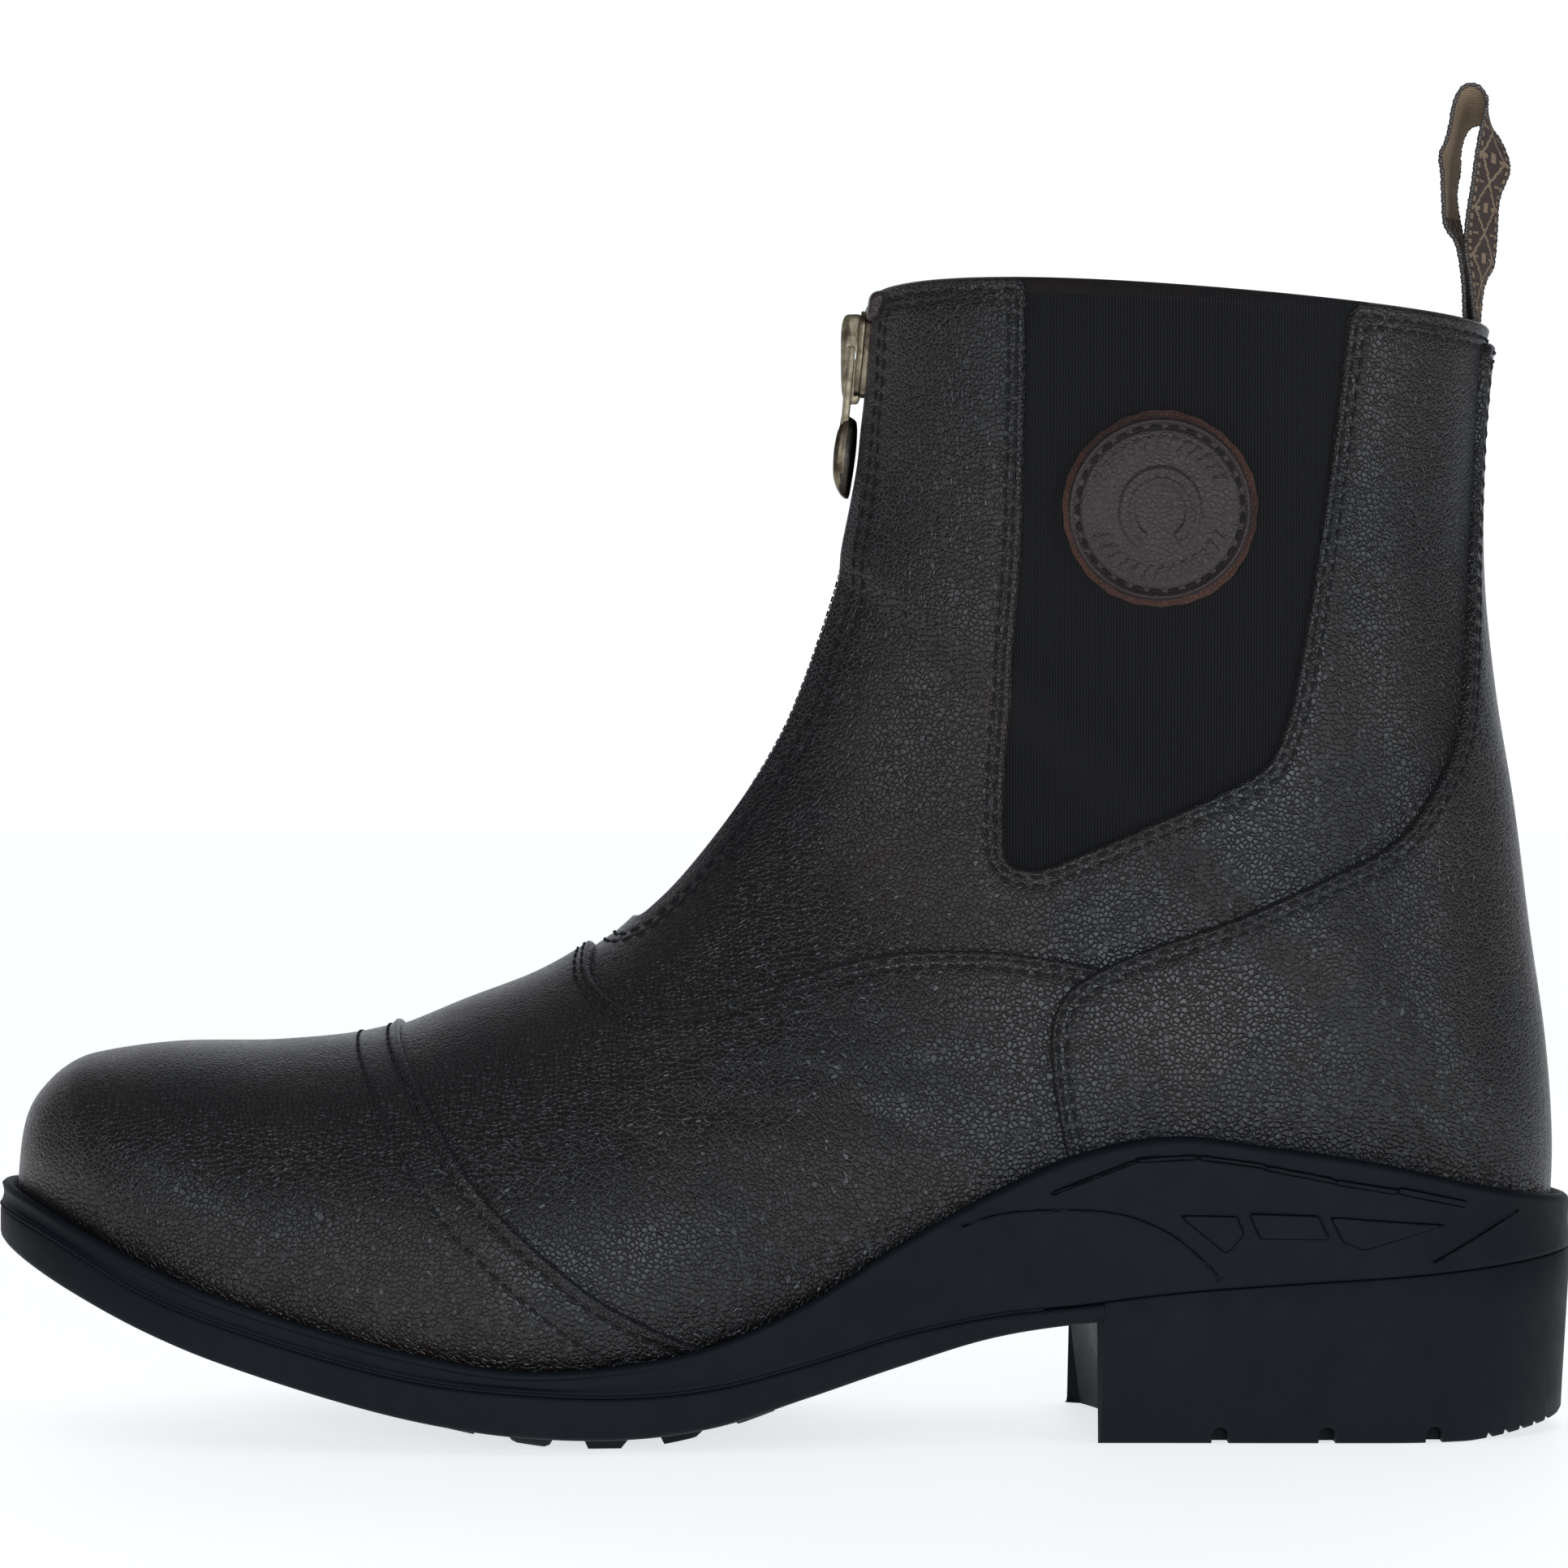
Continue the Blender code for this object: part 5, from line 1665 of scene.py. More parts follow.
def badge_height(radius, turn):
    """Stamped relief of the badge over its seat, for shares of its radius."""
    edge = 0.955 + 0.008 * np.sin(turn * 7) + 0.006 * np.sin(turn * 17 + 1) + 0.004 * np.sin(turn * 41)
    height = 1.15 * MM * step_up(0.925 - radius, 0.035) + 0.45 * MM * step_up(edge + 0.03 - radius, 0.03)
    height += 0.34 * MM * np.exp(-((radius - 0.895) / 0.022) ** 2)
    height -= 0.40 * MM * np.exp(-((radius - BADGE_SEAM) / 0.030) ** 2)
    x = radius * np.cos(turn)
    z = radius * np.sin(turn)
    stroke = (turn * 34 / (2 * math.pi) + radius * 3.0) % 1 - 0.5
    band = 0.075 - np.abs(radius - 0.66)
    rope = np.minimum(band, (0.30 - np.abs(stroke)) * 2 * math.pi * 0.66 / 34)
    rope = np.where(np.abs(np.cos(turn)) < 0.93, rope, -1)
    height += 0.24 * MM * step_up(rope, 0.04)
    shoe_turn = np.arctan2(z + 0.02, x)
    shoe_radius = np.hypot(x * 1.08, z + 0.02)
    open_end = np.abs((shoe_turn + math.pi / 2 + math.pi) % (2 * math.pi) - math.pi)
    shoe = np.minimum(0.088 - np.abs(shoe_radius - 0.36), (open_end - 0.52) * 0.36)
    height += 0.34 * MM * step_up(shoe, 0.03)
    crease = np.where(shoe > 0.03, np.abs(shoe_radius - 0.36), 1)
    height -= 0.16 * MM * step_up(0.020 - crease, 0.02)
    height += 0.05 * MM * np.sin(x * 9 + 1) * np.sin(z * 8)
    return height


def badge_grid():
    """Polar grid of the badge's points."""
    radius = np.concatenate((np.linspace(0.012, 0.98, BADGE_RINGS), [0.992, 1.0, 1.0]))
    turn = np.linspace(0, 2 * math.pi, BADGE_STEPS, endpoint=False)
    rr, tt = np.meshgrid(radius, turn, indexing="ij")
    wobble = 1 + (0.006 * np.sin(tt * 5) + 0.005 * np.sin(tt * 23)) * (rr > 0.93)
    x = BADGE_X + rr * wobble * BADGE_RADIUS * np.cos(tt)
    z = BADGE_Z + rr * wobble * BADGE_RADIUS * np.sin(tt)
    spot, normal = badge_place(x, z)
    height = badge_height(rr, tt) + BADGE_SEAT
    height[-1] = BADGE_SEAT - 0.5 * MM
    return spot + normal * height[..., None], rr


BADGE_LEATHER = leather("badge_leather", (0.0185, 0.0098, 0.0092), (0.029, 0.0150, 0.0135), 0.5, 0.46)
RAW_EDGE = leather("raw_leather_edge", (0.034, 0.012, 0.007), (0.115, 0.044, 0.022), 1.6, 0.8)
grid, share = badge_grid()
badge = bmesh.new()
rows = [[badge.verts.new(point) for point in row] for row in grid]
centre = badge.verts.new(grid[0].mean(axis=0))
for inner_row, outer_row in zip(rows, rows[1:]):
    for j in range(BADGE_STEPS):
        k = (j + 1) % BADGE_STEPS
        badge.faces.new((inner_row[j], inner_row[k], outer_row[k], outer_row[j]))
for j in range(BADGE_STEPS):
    badge.faces.new((centre, rows[0][(j + 1) % BADGE_STEPS], rows[0][j]))
badge_piece = make_piece(badge, "badge_disc", BADGE_LEATHER)
badge_piece.data.materials.append(RAW_EDGE)
for polygon in badge_piece.data.polygons:
    far = math.hypot(polygon.center.x - BADGE_X, polygon.center.z - BADGE_Z) / BADGE_RADIUS
    polygon.material_index = 1 if far > 0.933 else 0
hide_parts("badge")
turns = np.linspace(0, 2 * math.pi, 241)
ring_spot, ring_out = badge_place(BADGE_X + BADGE_SEAM * BADGE_RADIUS * np.cos(turns),
                                  BADGE_Z + BADGE_SEAM * BADGE_RADIUS * np.sin(turns))
ring_spot = ring_spot + ring_out * (BADGE_SEAT + 1.2 * MM)
stitch_rows.append(([Vector(p) for p in ring_spot], [Vector(n) for n in ring_out]))
print("badge", len(badge_piece.data.polygons), "faces")

# %% [markdown]
# The zip is two rows of brass teeth on a woven tape. From the side the folded leather hides it, so
# it shows from the front. Each tooth is a small rounded block, and left and right teeth alternate.

# %% Zip tape and teeth
TAPE_SINK = 2.4 * MM
TOOTH_PITCH = 1.35 * MM
TOOTH_REACH = 2.4 * MM
TOOTH_TALL = 0.95 * MM
TOOTH_DEEP = 1.2 * MM
TOOTH_SINK = 1.95 * MM
TAPE_HALF = 7.0 * MM
SLIDER_UP = 0.947


def tape_inside(spots):
    longer = depth_inside(spots[:, [0, 2]], ZIP_LINE) + 1.5 * MM
    return np.minimum(longer, TAPE_HALF - np.abs(spots[:, 1]))


tape = cut_panel(tape_inside)
raise_points(tape, [-TAPE_SINK] * len(tape.verts))
tape_piece = make_piece(tape, "zip_tape_left_and_right", ZIP_CLOTH)
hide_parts("zip_tape")

ridge = SURFACE[:, HALF_COLUMNS]
ridge = ridge[(ridge[:, 2] > up(0.462)) & (ridge[:, 2] < up(0.975))]
run = run_along(ridge)


def front_place(distance):
    """Point, upward direction and outward direction at a distance up the zip."""
    spot = Vector(read_along(distance, run, ridge))
    before = Vector(read_along(distance - MM, run, ridge))
    after = Vector(read_along(distance + MM, run, ridge))
    rise = (after - before).normalized()
    rise.y = 0
    rise.normalize()
    return spot, rise, Vector((-rise.z, 0, rise.x))


def add_block(bm, centre, axes, size, corner):
    """Adds a block with rounded edges, given its centre, three directions and size."""
    made = bmesh.ops.create_cube(bm, size=1.0)["verts"]
    edges = list({edge for vert in made for edge in vert.link_edges})
    for vert in made:
        local = vert.co.copy()
        vert.co = centre + sum((axis * (local[i] * size[i]) for i, axis in enumerate(axes)), Vector())
    bmesh.ops.bevel(bm, geom=edges, offset=corner, segments=2, profile=0.6, affect="EDGES")


teeth = bmesh.new()
distance = 0.6 * MM
turn = 1
while distance < run[-1] - 0.5 * MM:
    spot, rise, out = front_place(distance)
    side = Vector((0, turn, 0))
    centre = spot - out * TOOTH_SINK + side * (TOOTH_REACH / 2 - 0.45 * MM)
    add_block(teeth, centre, (side, rise, out), (TOOTH_REACH, TOOTH_TALL, TOOTH_DEEP), 0.2 * MM)
    distance += TOOTH_PITCH
    turn = -turn
teeth_piece = make_piece(teeth, "zip_teeth", BRASS)
smooth_by_angle(teeth_piece, 40)
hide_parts("zip_chain")
print("teeth", len(teeth_piece.data.polygons), "faces")

# %% [markdown]
# The slider is cast: a body that runs on the teeth and an arched crown in which the pull tab hangs.
# Both are plates with rounded edges, so one helper draws any plate from its outline.

# %% Slider
PIN = Vector((-0.084741, 0, 0.191113))
CROWN_HALF = 1.1 * MM
WEB_HALF = 0.45 * MM


def add_plate(bm, outline, to_world, half, corner):
    """Adds a plate: an outline in its own plane, thickened to both sides, with rounded edges."""
    near = [bm.verts.new(to_world(a, b, -half)) for a, b in outline]
    far = [bm.verts.new(to_world(a, b, half)) for a, b in outline]
    faces = [bm.faces.new(near), bm.faces.new(far[::-1])]
    for j in range(len(outline)):
        k = (j + 1) % len(outline)
        faces.append(bm.faces.new((near[j], far[j], far[k], near[k])))
    bmesh.ops.recalc_face_normals(bm, faces=faces)
    rims = list(set(faces[0].edges) | set(faces[1].edges))
    bmesh.ops.bevel(bm, geom=rims, offset=corner, segments=2, profile=0.6, affect="EDGES")


def round_outline(points, steps=6, pull=0.35):
    """Outline with its corners rounded by short curves."""
    rounded = []
    count = len(points)
    for i in range(count):
        before, here, after = (np.array(points[(i + d) % count], float) for d in (-1, 0, 1))
        start = here + (before - here) * pull
        end = here + (after - here) * pull
        for t in np.linspace(0, 1, steps):
            rounded.append(tuple((1 - t) ** 2 * start + 2 * t * (1 - t) * here + t * t * end))
    return rounded


def from_pin(a, b, across):
    """World place from millimetres ahead of the pin, over it, and metres across."""
    return Vector((PIN.x + a * MM, across, PIN.z + b * MM))


CROWN = ((-1.75, 6.75), (1.85, 6.95), (2.0, 5.6), (2.0, -9.2), (-1.1, -9.2), (-1.75, -6.2))
EYE = ((-0.65, 1.15), (0.75, 1.15), (0.95, 0.2), (0.95, -1.3), (-0.65, -1.3))
HOLLOW = ((-0.62, -1.0), (1.05, -1.0), (1.05, -8.0), (0.2, -8.4), (-0.45, -7.6))
crown = bmesh.new()
add_plate(crown, round_outline(CROWN), from_pin, CROWN_HALF, 0.28 * MM)
crown_piece = make_piece(crown, "slider_crown", BRASS)
cutters = []
for name, outline, low, high in (
        ("eye", EYE, -3 * MM, 3 * MM), ("near_hollow", HOLLOW, -3 * MM, -WEB_HALF),
        ("far_hollow", HOLLOW, WEB_HALF, 3 * MM)):
    places = [(PIN.x + a * MM, PIN.z + b * MM) for a, b in round_outline(outline)]
    cutters.append(prism_mesh(places, low, high, name))
dimple = [(PIN.x + (0.3 + 0.42 * math.cos(t)) * MM, PIN.z + (4.6 + 0.42 * math.sin(t)) * MM)
          for t in np.linspace(0, 2 * math.pi, 14, endpoint=False)]
cutters.append(prism_mesh(dimple, -3 * MM, -CROWN_HALF + 0.35 * MM, "near_dimple"))
cutters.append(prism_mesh(dimple, CROWN_HALF - 0.35 * MM, 3 * MM, "far_dimple"))
carve(crown_piece, cutters)
for polygon in crown_piece.data.polygons:
    polygon.use_smooth = True
smooth_by_angle(crown_piece, 38)

slider_foot, slider_rise, slider_out = front_place(np.interp(up(SLIDER_UP), ridge[:, 2], run))


def on_slider(a, b, across):
    """World place on the slider's body: millimetres sideways and up, metres outward."""
    return slider_foot + Vector((0, a * MM, 0)) + slider_rise * (b * MM) + slider_out * (0.85 * MM + across)


BODY = ((-3.4, 7.6), (3.4, 7.6), (4.0, 5.2), (3.7, -1.5), (2.6, -7.6), (-2.6, -7.6), (-3.7, -1.5),
        (-4.0, 5.2))
FLANGE = (0.6 * MM, 14.4 * MM, 3.4 * MM)
FLANGE_SIDE = 3.7 * MM
body = bmesh.new()
add_plate(body, round_outline(BODY, 5, 0.3), on_slider, 0.65 * MM, 0.3 * MM)
slider_axes = (Vector((0, 1, 0)), slider_rise, slider_out)
for side in (-1, 1):
    flange = slider_foot + Vector((0, side * FLANGE_SIDE, 0))
    flange = flange + slider_out * (-1.1 * MM) - slider_rise * (0.3 * MM)
    add_block(body, flange, slider_axes, FLANGE, 0.2 * MM)
slider_piece = make_piece(body, "slider_body", BRASS)
smooth_by_angle(slider_piece, 38)
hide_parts("zip_slider")
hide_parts("zip_slider")
print("slider", len(slider_piece.data.polygons) + len(crown_piece.data.polygons), "faces")

# %% [markdown]
# The pull tab hangs from a pin through the crown's eye. Two arms go down past the crown and join
# in a thick oval grip with a rolled rim, whose back half takes the darker brass as painted shade.
# It rides on its own body, so it swings with the hinge.

# %% Pull tab
TAB_LEAN = math.radians(7)
ARM_AT = 1.85 * MM
ARM_HALF = 0.45 * MM
TAB_TURN = Matrix.Rotation(TAB_LEAN, 4, "Y")


def on_tab(a, b, across):
    """World place on the tab: millimetres forward and up from the pin, metres across."""
    return PIN + TAB_TURN @ Vector((a * MM, across, b * MM))


ARM = ((-0.75, 1.1), (0.75, 1.1), (0.85, -2.0), (1.15, -9.0), (1.2, -13.4), (-0.2, -13.4), (-0.3, -9.0),
       (-0.65, -2.0))
tab = bmesh.new()
for side in (-1, 1):
    centre = side * ARM_AT
    add_plate(tab, round_outline(ARM, 5, 0.3), lambda a, b, c: on_tab(a, b, c + centre), ARM_HALF, 0.22 * MM)
add_tube(tab, [on_tab(0, 0, y) for y in np.linspace(-ARM_AT, ARM_AT, 5)], 0.55 * MM, Vector((0, 0, 1)), 12)
GRIP_ROWS = 30
GRIP_SIDES = 36
GRIP_DEPTHS = (11.3, 12.0, 13.2, 14.5, 16.0, 17.7, 20.8, 22.4, 24.0, 25.0, 25.7, 26.0)
GRIP_FRONT = (-0.35, -0.52, -0.60, -0.95, -1.12, -1.19, -0.93, -0.62, 0.10, 0.80, 1.55, 2.15)
GRIP_BACK = (1.20, 2.60, 3.05, 3.25, 3.38, 3.45, 3.40, 3.32, 3.20, 3.08, 2.90, 2.60)
GRIP_HALF = (1.90, 2.20, 2.75, 3.00, 3.20, 3.30, 3.15, 2.90, 2.40, 1.80, 1.10, 0.45)
grip_rows = []
for row in range(GRIP_ROWS + 1):
    share = (1 - math.cos(math.pi * row / GRIP_ROWS)) / 2
    depth = GRIP_DEPTHS[0] + (GRIP_DEPTHS[-1] - GRIP_DEPTHS[0]) * share
    front, back, wide = (float(smooth(GRIP_DEPTHS, column, np.array([depth]))[0])
                         for column in (GRIP_FRONT, GRIP_BACK, GRIP_HALF))
    line = []
    for step in range(GRIP_SIDES):
        turn = 2 * math.pi * step / GRIP_SIDES
        c, s = math.cos(turn), math.sin(turn)
        side = abs(c) ** 0.8 * (1 if c > 0 else -1)
        dish = 0.22 * (back - front) * max(0.0, 1 - (c / 0.62) ** 2) ** 2
        face = abs(s) ** 0.7 * (1 if s > 0 else -1)
        a = (front + back) / 2 + (back - front) / 2 * face + dish * (-1 if s > 0 else 1) * 0.8
        line.append(tab.verts.new(on_tab(a, -depth, wide * side * MM)))
    grip_rows.append(line)
tab.faces.new(grip_rows[0])
tab.faces.new(grip_rows[-1][::-1])
for low, high in zip(grip_rows, grip_rows[1:]):
    for j in range(GRIP_SIDES):
        k = (j + 1) % GRIP_SIDES
        tab.faces.new((low[j], low[k], high[k], high[j]))
bmesh.ops.remove_doubles(tab, verts=tab.verts, dist=1e-6)
bmesh.ops.recalc_face_normals(tab, faces=tab.faces)
tab_piece = make_piece(tab, "pull_tab_brass", BRASS, body="pull_tab")
# Painted shade: the faces on the back half of the grip take the darker brass.
tab_piece.data.materials.append(BRASS_PAINTED_SHADE)
for polygon in tab_piece.data.polygons:
    local = TAB_TURN.inverted() @ (polygon.center - PIN)
    if local.z < -12 * MM and local.x > 0.95 * MM:
        polygon.material_index = 1
smooth_by_angle(tab_piece, 42)
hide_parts("zip_pull_tab")
print("pull tab", len(tab_piece.data.polygons), "faces")

# %% [markdown]
# At the top of the zip a scrap of reddish leather is folded over the end of each tape.

# %% Folded zip ends
END_LEATHER = leather("zip_end_leather", (0.022, 0.012, 0.0115), (0.042, 0.022, 0.019), 0.5, 0.42)
END_SIZE = (1.75 * MM, 2.3 * MM, 2.5 * MM)
END_AT = Vector((-0.0801, 0, 0.1990))
END_SIDE = 7.2 * MM
zip_ends = bmesh.new()
for side in (-1, 1):
    made = bmesh.ops.create_uvsphere(zip_ends, u_segments=28, v_segments=18, radius=1.0)["verts"]
    for vert in made:
        unit = vert.co.copy()
        lump = 1 + 0.10 * math.sin(unit.z * 4 + side) + 0.06 * math.sin(unit.y * 7)
        fold = Vector([abs(value) ** 0.85 * (1 if value > 0 else -1) for value in unit])
        lean = 0.35 * fold.z
        vert.co = END_AT + Vector((0, side * END_SIDE, 0)) + Vector((
            (fold.x + lean) * END_SIZE[0], fold.y * END_SIZE[1], fold.z * END_SIZE[2])) * lump
zip_end_piece = make_piece(zip_ends, "zip_end_folds", END_LEATHER)
print("zip ends", len(zip_end_piece.data.polygons), "faces")

# %% [markdown]
# The pull loop is one woven tape, folded over and sewn into the collar's back. It has been pulled
# often, so it leans, twists and kinks. Its two edges are given as stations in millimetres, behind
# the collar's middle and over its top, and the tape is stretched smoothly between them.

# %% Pull loop
LOOP_HALF = 5.8 * MM
LOOP_THICK = 0.55 * MM
LOOP_STEP = 0.36 * MM
LOOP_COLUMNS = 26
LOOP_STATIONS = (
    (25.6, -16.0, 26.4, -16.0), (24.9, -9.0, 26.8, -9.0), (24.4, -4.5, 27.2, -4.5), (24.1, 2.2, 26.9, 2.9),
    (23.0, 8.6, 25.9, 8.6), (21.0, 11.9, 25.1, 12.4), (20.6, 16.3, 24.4, 16.3), (20.4, 21.1, 24.3, 19.5),
    (20.1, 24.4, 24.9, 23.0), (21.1, 26.8, 24.9, 25.7), (21.9, 29.9, 25.4, 28.3), (22.5, 33.3, 26.3, 30.2),
    (23.7, 36.0, 27.2, 31.0), (25.3, 36.9, 28.3, 31.3), (27.0, 36.4, 29.5, 31.1), (28.3, 34.3, 30.8, 30.1),
    (28.0, 31.5, 32.1, 28.3), (27.4, 29.2, 33.0, 26.4), (26.8, 26.0, 33.7, 24.2), (26.3, 22.7, 33.6, 22.2),
    (25.9, 19.5, 32.2, 18.8), (25.3, 15.9, 31.7, 16.3), (24.8, 12.3, 31.5, 12.4), (24.6, 9.1, 31.3, 9.2),
    (24.8, 5.8, 30.8, 5.4), (25.3, 3.3, 29.9, 3.9), (25.6, 0.2, 29.0, 1.2), (26.1, -4.5, 28.4, -4.5),
    (26.4, -9.0, 27.6, -9.0), (26.6, -16.0, 27.2, -16.0),
)
stations = np.array(LOOP_STATIONS) * MM
middle_line = np.stack(((stations[:, 0] + stations[:, 2]) / 2, (stations[:, 1] + stations[:, 3]) / 2), axis=1)
along_tape = run_along(middle_line)
tape_rows = int(along_tape[-1] / LOOP_STEP)
even = np.linspace(0, along_tape[-1], tape_rows)
edges = smooth(along_tape, stations, even)
across = np.linspace(-1, 1, LOOP_COLUMNS + 1)
near_edge = np.stack((edges[:, 0], np.full(tape_rows, -LOOP_HALF), edges[:, 1] + COLLAR_HEIGHT), axis=1)
far_edge = np.stack((edges[:, 2], np.full(tape_rows, LOOP_HALF), edges[:, 3] + COLLAR_HEIGHT), axis=1)
share = (across[None, :, None] + 1) / 2
sheet = near_edge[:, None] * (1 - share) + far_edge[:, None] * share
sheet_out = np.cross(np.gradient(sheet, axis=0), np.gradient(sheet, axis=1))
sheet_out /= np.linalg.norm(sheet_out, axis=2, keepdims=True)
cup = 0.5 * MM * np.sin(even / along_tape[-1] * 9 + 0.5)
sheet = sheet + sheet_out * (cup[:, None] * (1 - across[None] ** 2))[..., None]
print("tape length", round(float(along_tape[-1]) / MM, 1), "mm")


def woven_light(run, side):
    """Whether the woven diamonds show light at a place on the tape."""
    wave = abs((run / (9 * MM)) % 1 * 2 - 1)
    diamond = abs(abs(side) / 0.72 - wave) < 0.10
    heart = wave > 0.80 and abs(side) < 0.16
    rung = 0.80 < abs(side) < 0.90 and (run / (1.5 * MM)) % 1 < 0.5
    speck = abs(side) < 0.70 and (run / (4.5 * MM)) % 1 < 0.10 and abs(side) > 0.42
    return diamond or heart or rung or speck


WEB_DARK = cloth("loop_webbing", (0.022, 0.012, 0.009), (0.078, 0.046, 0.036), 0.7 * MM)
WEB_LIGHT = cloth("loop_light_yarn", (0.150, 0.100, 0.060), (0.400, 0.290, 0.185), 0.7 * MM)
WEB_EDGE = cloth("loop_selvedge", (0.020, 0.018, 0.020), (0.210, 0.180, 0.150), 1.1 * MM)
loop = bmesh.new()
layers = []
for side in (1, -1):
    shift = sheet_out * (side * LOOP_THICK / 2)
    layers.append([[loop.verts.new(point) for point in row] for row in sheet + shift])
for number, grid in enumerate(layers):
    for i in range(tape_rows - 1):
        for j in range(LOOP_COLUMNS):
            corners = [grid[i][j], grid[i + 1][j], grid[i + 1][j + 1], grid[i][j + 1]]
            face = loop.faces.new(corners if number == 0 else corners[::-1])
            light = woven_light(even[i], (across[j] + across[j + 1]) / 2)
            face.material_index = int(light) if number == 0 else (1 if even[i] > 0.030 or light else 0)
for j in (0, LOOP_COLUMNS):
    before = set(loop.faces)
    size = 0.42 * MM * (1 + 0.22 * np.sin(even / (0.9 * MM) * 2 * math.pi) + 0.10 * np.sin(even * 3100))
    beaded_tube(loop, sheet[:, j], size)
    for face in set(loop.faces) - before:
        face.material_index = 2
loop_piece = make_piece(loop, "pull_loop_tape", WEB_DARK)
loop_piece.data.materials.append(WEB_LIGHT)
loop_piece.data.materials.append(WEB_EDGE)
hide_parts("pull_loop")
print("pull loop", len(loop_piece.data.polygons), "faces")

# %% [markdown]
# The sock in the boot's bottom keeps the shape that the model gives it and only takes a finish.

# %% Sock
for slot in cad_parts["insole"].material_slots:
    slot.material = SOCK
print("sock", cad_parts["insole"].name)

# %% [markdown]
# A stitch is a short tight length of thread that dives into the leather at both ends. Every row
# noted above is walked at an even pitch, and each stitch is a small bent tube laid in its groove.

# %% Stitching
STITCH_PITCH = 3.0 * MM
STITCH_LENGTH = 1.95 * MM
THREAD_RADIUS = 0.28 * MM
STITCH_BEND = ((-0.5, -0.34), (-0.36, -0.02), (-0.12, 0.10), (0.12, 0.10), (0.36, -0.02), (0.5, -0.34))


def walk(points, normals):
    """Even places along a chain: point, direction and normal."""
    spots = np.array(points)
    outs = np.array(normals)
    run = run_along(spots)
    count = int(run[-1] / STITCH_PITCH)
    places = []
    for k in range(count):
        middle = (k + 0.5) * run[-1] / count
        before = Vector(read_along(middle - STITCH_PITCH * 0.3, run, spots))
        after = Vector(read_along(middle + STITCH_PITCH * 0.3, run, spots))
        out = Vector(read_along(middle, run, outs)).normalized()
        places.append((Vector(read_along(middle, run, spots)), (after - before).normalized(), out))
    return places


stitches = bmesh.new()
count = 0
for points, normals in stitch_rows:
    for spot, way, out in walk(points, normals):
        centres = [spot + way * (share * STITCH_LENGTH) + out * (lift * MM + THREAD_RADIUS * 0.3)
                   for share, lift in STITCH_BEND]
        add_tube(stitches, centres, THREAD_RADIUS, out)
        count += 1
make_piece(stitches, "stitching", THREAD)
print(count, "stitches")

# %% [markdown]
# The lining is the same wall seen from inside. Its top curls out to meet the collar's fold.

# %% Lining
lining = LAST.copy()
store(lining, "inside", -slit_depth(places_of(lining)))
cut(lining, "inside", 0.0)
drop_outside(lining, "inside")
drop = (SURFACE_ROWS - 1 - values_of(lining, "row")) * 1.2 * MM
curl = np.clip(drop / WALL, 0, 1)
raise_points(lining, -WALL * (0.5 + 0.5 * np.sqrt(1 - (1 - curl) ** 2)))
bmesh.ops.reverse_faces(lining, faces=lining.faces)
lining_piece = make_piece(lining, "lining", LINING)
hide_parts("upper")
print("lining", len(lining_piece.data.polygons), "faces")

# %% [markdown]
# The camera stands where the photographer stood: level, 95 cm from the boot's middle plane, at the
# height of the ankle. The studio is bright behind and dim in front, so that the dark leather keeps
# its depth. Three lamps at the boot's own height, one on each side and one behind the camera, draw
# the bright patches. The floor glows a little, like a lit table.

# %% Camera, floor and light
LAMP_TINT = (0.80, 0.89, 1.0)


def add_light(name, place_at, aim_at, size, power):
    """Soft cool light, so wide and so tall, that looks at a point."""
    lamp = bpy.data.lights.new(name, "AREA")
    lamp.energy = power
    lamp.shape = "RECTANGLE"
    lamp.size, lamp.size_y = size
    lamp.color = LAMP_TINT
    light = bpy.data.objects.new(name, lamp)
    light.location = place_at
    light.rotation_euler = (Vector(aim_at) - Vector(place_at)).to_track_quat("-Z", "Y").to_euler()
    bpy.context.scene.collection.objects.link(light)


camera = bpy.data.objects.new("camera", bpy.data.cameras.new("camera"))
camera.location = (-0.09665, -0.950, 0.114)
camera.rotation_euler = (math.radians(90), 0, 0)
camera.data.lens = 121.9
camera.data.sensor_width = 36
bpy.context.scene.collection.objects.link(camera)
bpy.context.scene.camera = camera

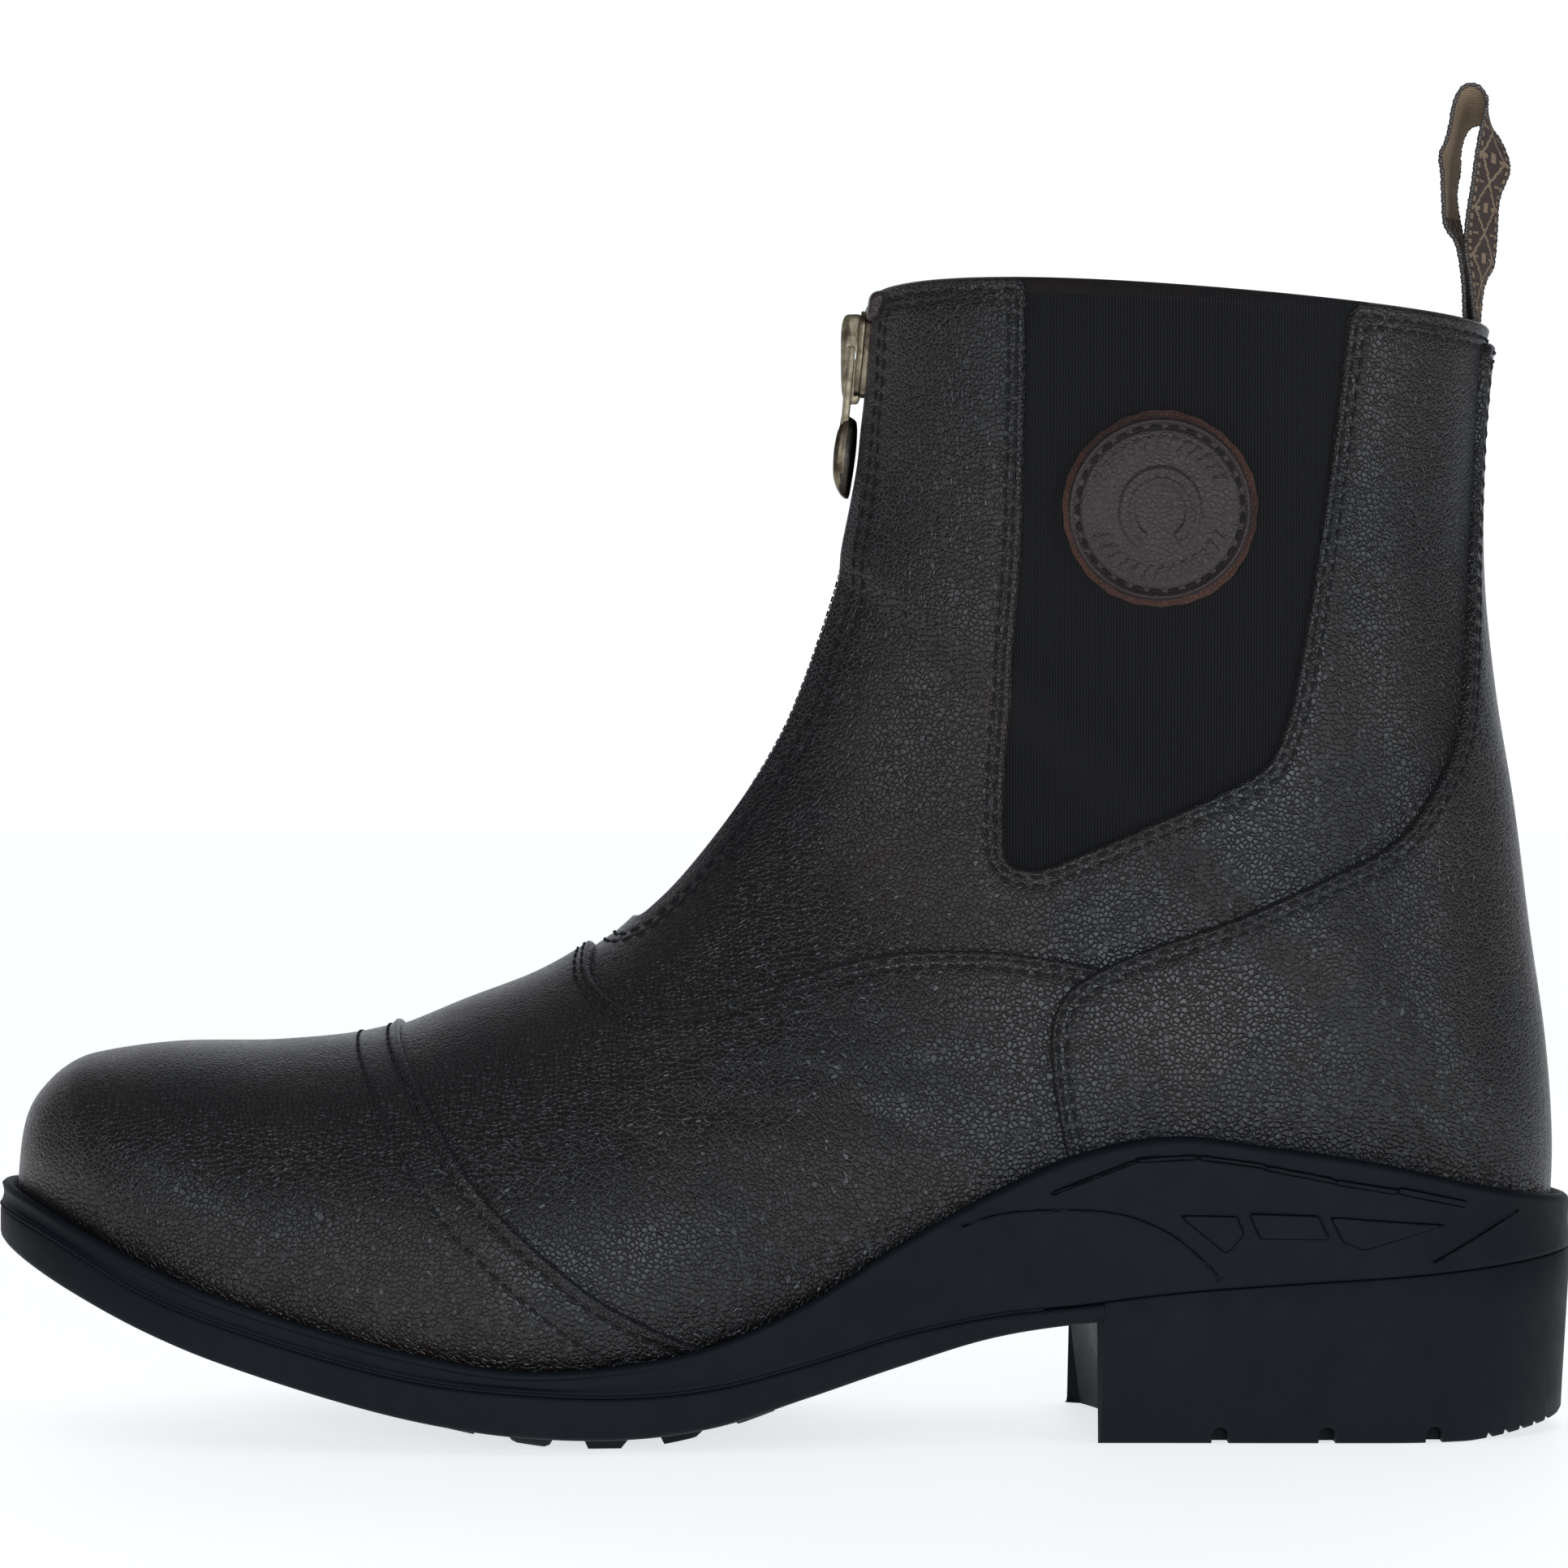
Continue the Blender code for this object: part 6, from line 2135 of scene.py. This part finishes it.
floor_mesh = bpy.data.meshes.new("floor")
FLOOR_HALF = 12.0
floor_mesh.from_pydata(
    [(-FLOOR_HALF, -FLOOR_HALF, 0), (FLOOR_HALF, -FLOOR_HALF, 0), (FLOOR_HALF, FLOOR_HALF, 0),
     (-FLOOR_HALF, FLOOR_HALF, 0)], [], [(0, 1, 2, 3)])
floor = bpy.data.objects.new("floor", floor_mesh)
bpy.context.scene.collection.objects.link(floor)
floor_finish, floor_tree, floor_shader = new_finish("pale_floor", 0.6)
floor_tone = ramp(floor_tree, noise(floor_tree, 1.5), (0.86, 0.86, 0.86), (0.89, 0.89, 0.89))
floor_tree.links.new(floor_tone, floor_shader.inputs["Base Color"])
floor_shader.inputs["Emission Color"].default_value = (0.97, 0.99, 1.0, 1.0)
floor_shader.inputs["Emission Strength"].default_value = 0.72
floor_mesh.materials.append(floor_finish)

world = bpy.data.worlds.new("studio")
world.use_nodes = True
sky = world.node_tree
spot = sky.nodes.new("ShaderNodeTexCoord")
split = sky.nodes.new("ShaderNodeSeparateXYZ")
sky.links.new(spot.outputs["Generated"], split.inputs[0])


def sky_part(output, start, end, low, high):
    """Brightness of the studio's walls that rises along one direction."""
    node = sky.nodes.new("ShaderNodeMapRange")
    node.interpolation_type = "SMOOTHSTEP"
    for name, value in (("From Min", start), ("From Max", end), ("To Min", low), ("To Max", high)):
        node.inputs[name].default_value = value
    sky.links.new(split.outputs[output], node.inputs["Value"])
    return node.outputs["Result"]


front = sums(sky, "MULTIPLY", sky_part("Z", -0.30, 0.0, 0.5, 1.0), sky_part("Z", 0.30, 0.60, 0.10, 0.035))
behind = sums(sky, "ADD", sky_part("Y", 0.60, 0.93, 0.0, 1.0), sky_part("Y", -0.99, -0.95, 0.55, 0.0))
walls = sums(sky, "ADD", front, behind)
brightness = sums(sky, "ADD", walls, sky_part("Z", 0.60, 0.95, 0.0, 0.30))
tint = mix(sky, 1.0, (0.96, 0.985, 1.03), brightness, "MULTIPLY")
sky.links.new(tint, sky.nodes["Background"].inputs["Color"])
bpy.context.scene.world = world
bpy.context.scene.view_settings.view_transform = "Standard"
add_light("front", (0.02, -1.33, 0.22), (-0.05, 0, 0.09), (0.34, 0.26), 4.2)
add_light("left", (-0.80, -1.10, 0.40), (-0.1, 0, 0.1), (0.30, 0.40), 2.9)
add_light("right", (0.95, -0.90, 0.24), (0.0, 0, 0.12), (0.26, 0.40), 2.8)
print("three lights set")
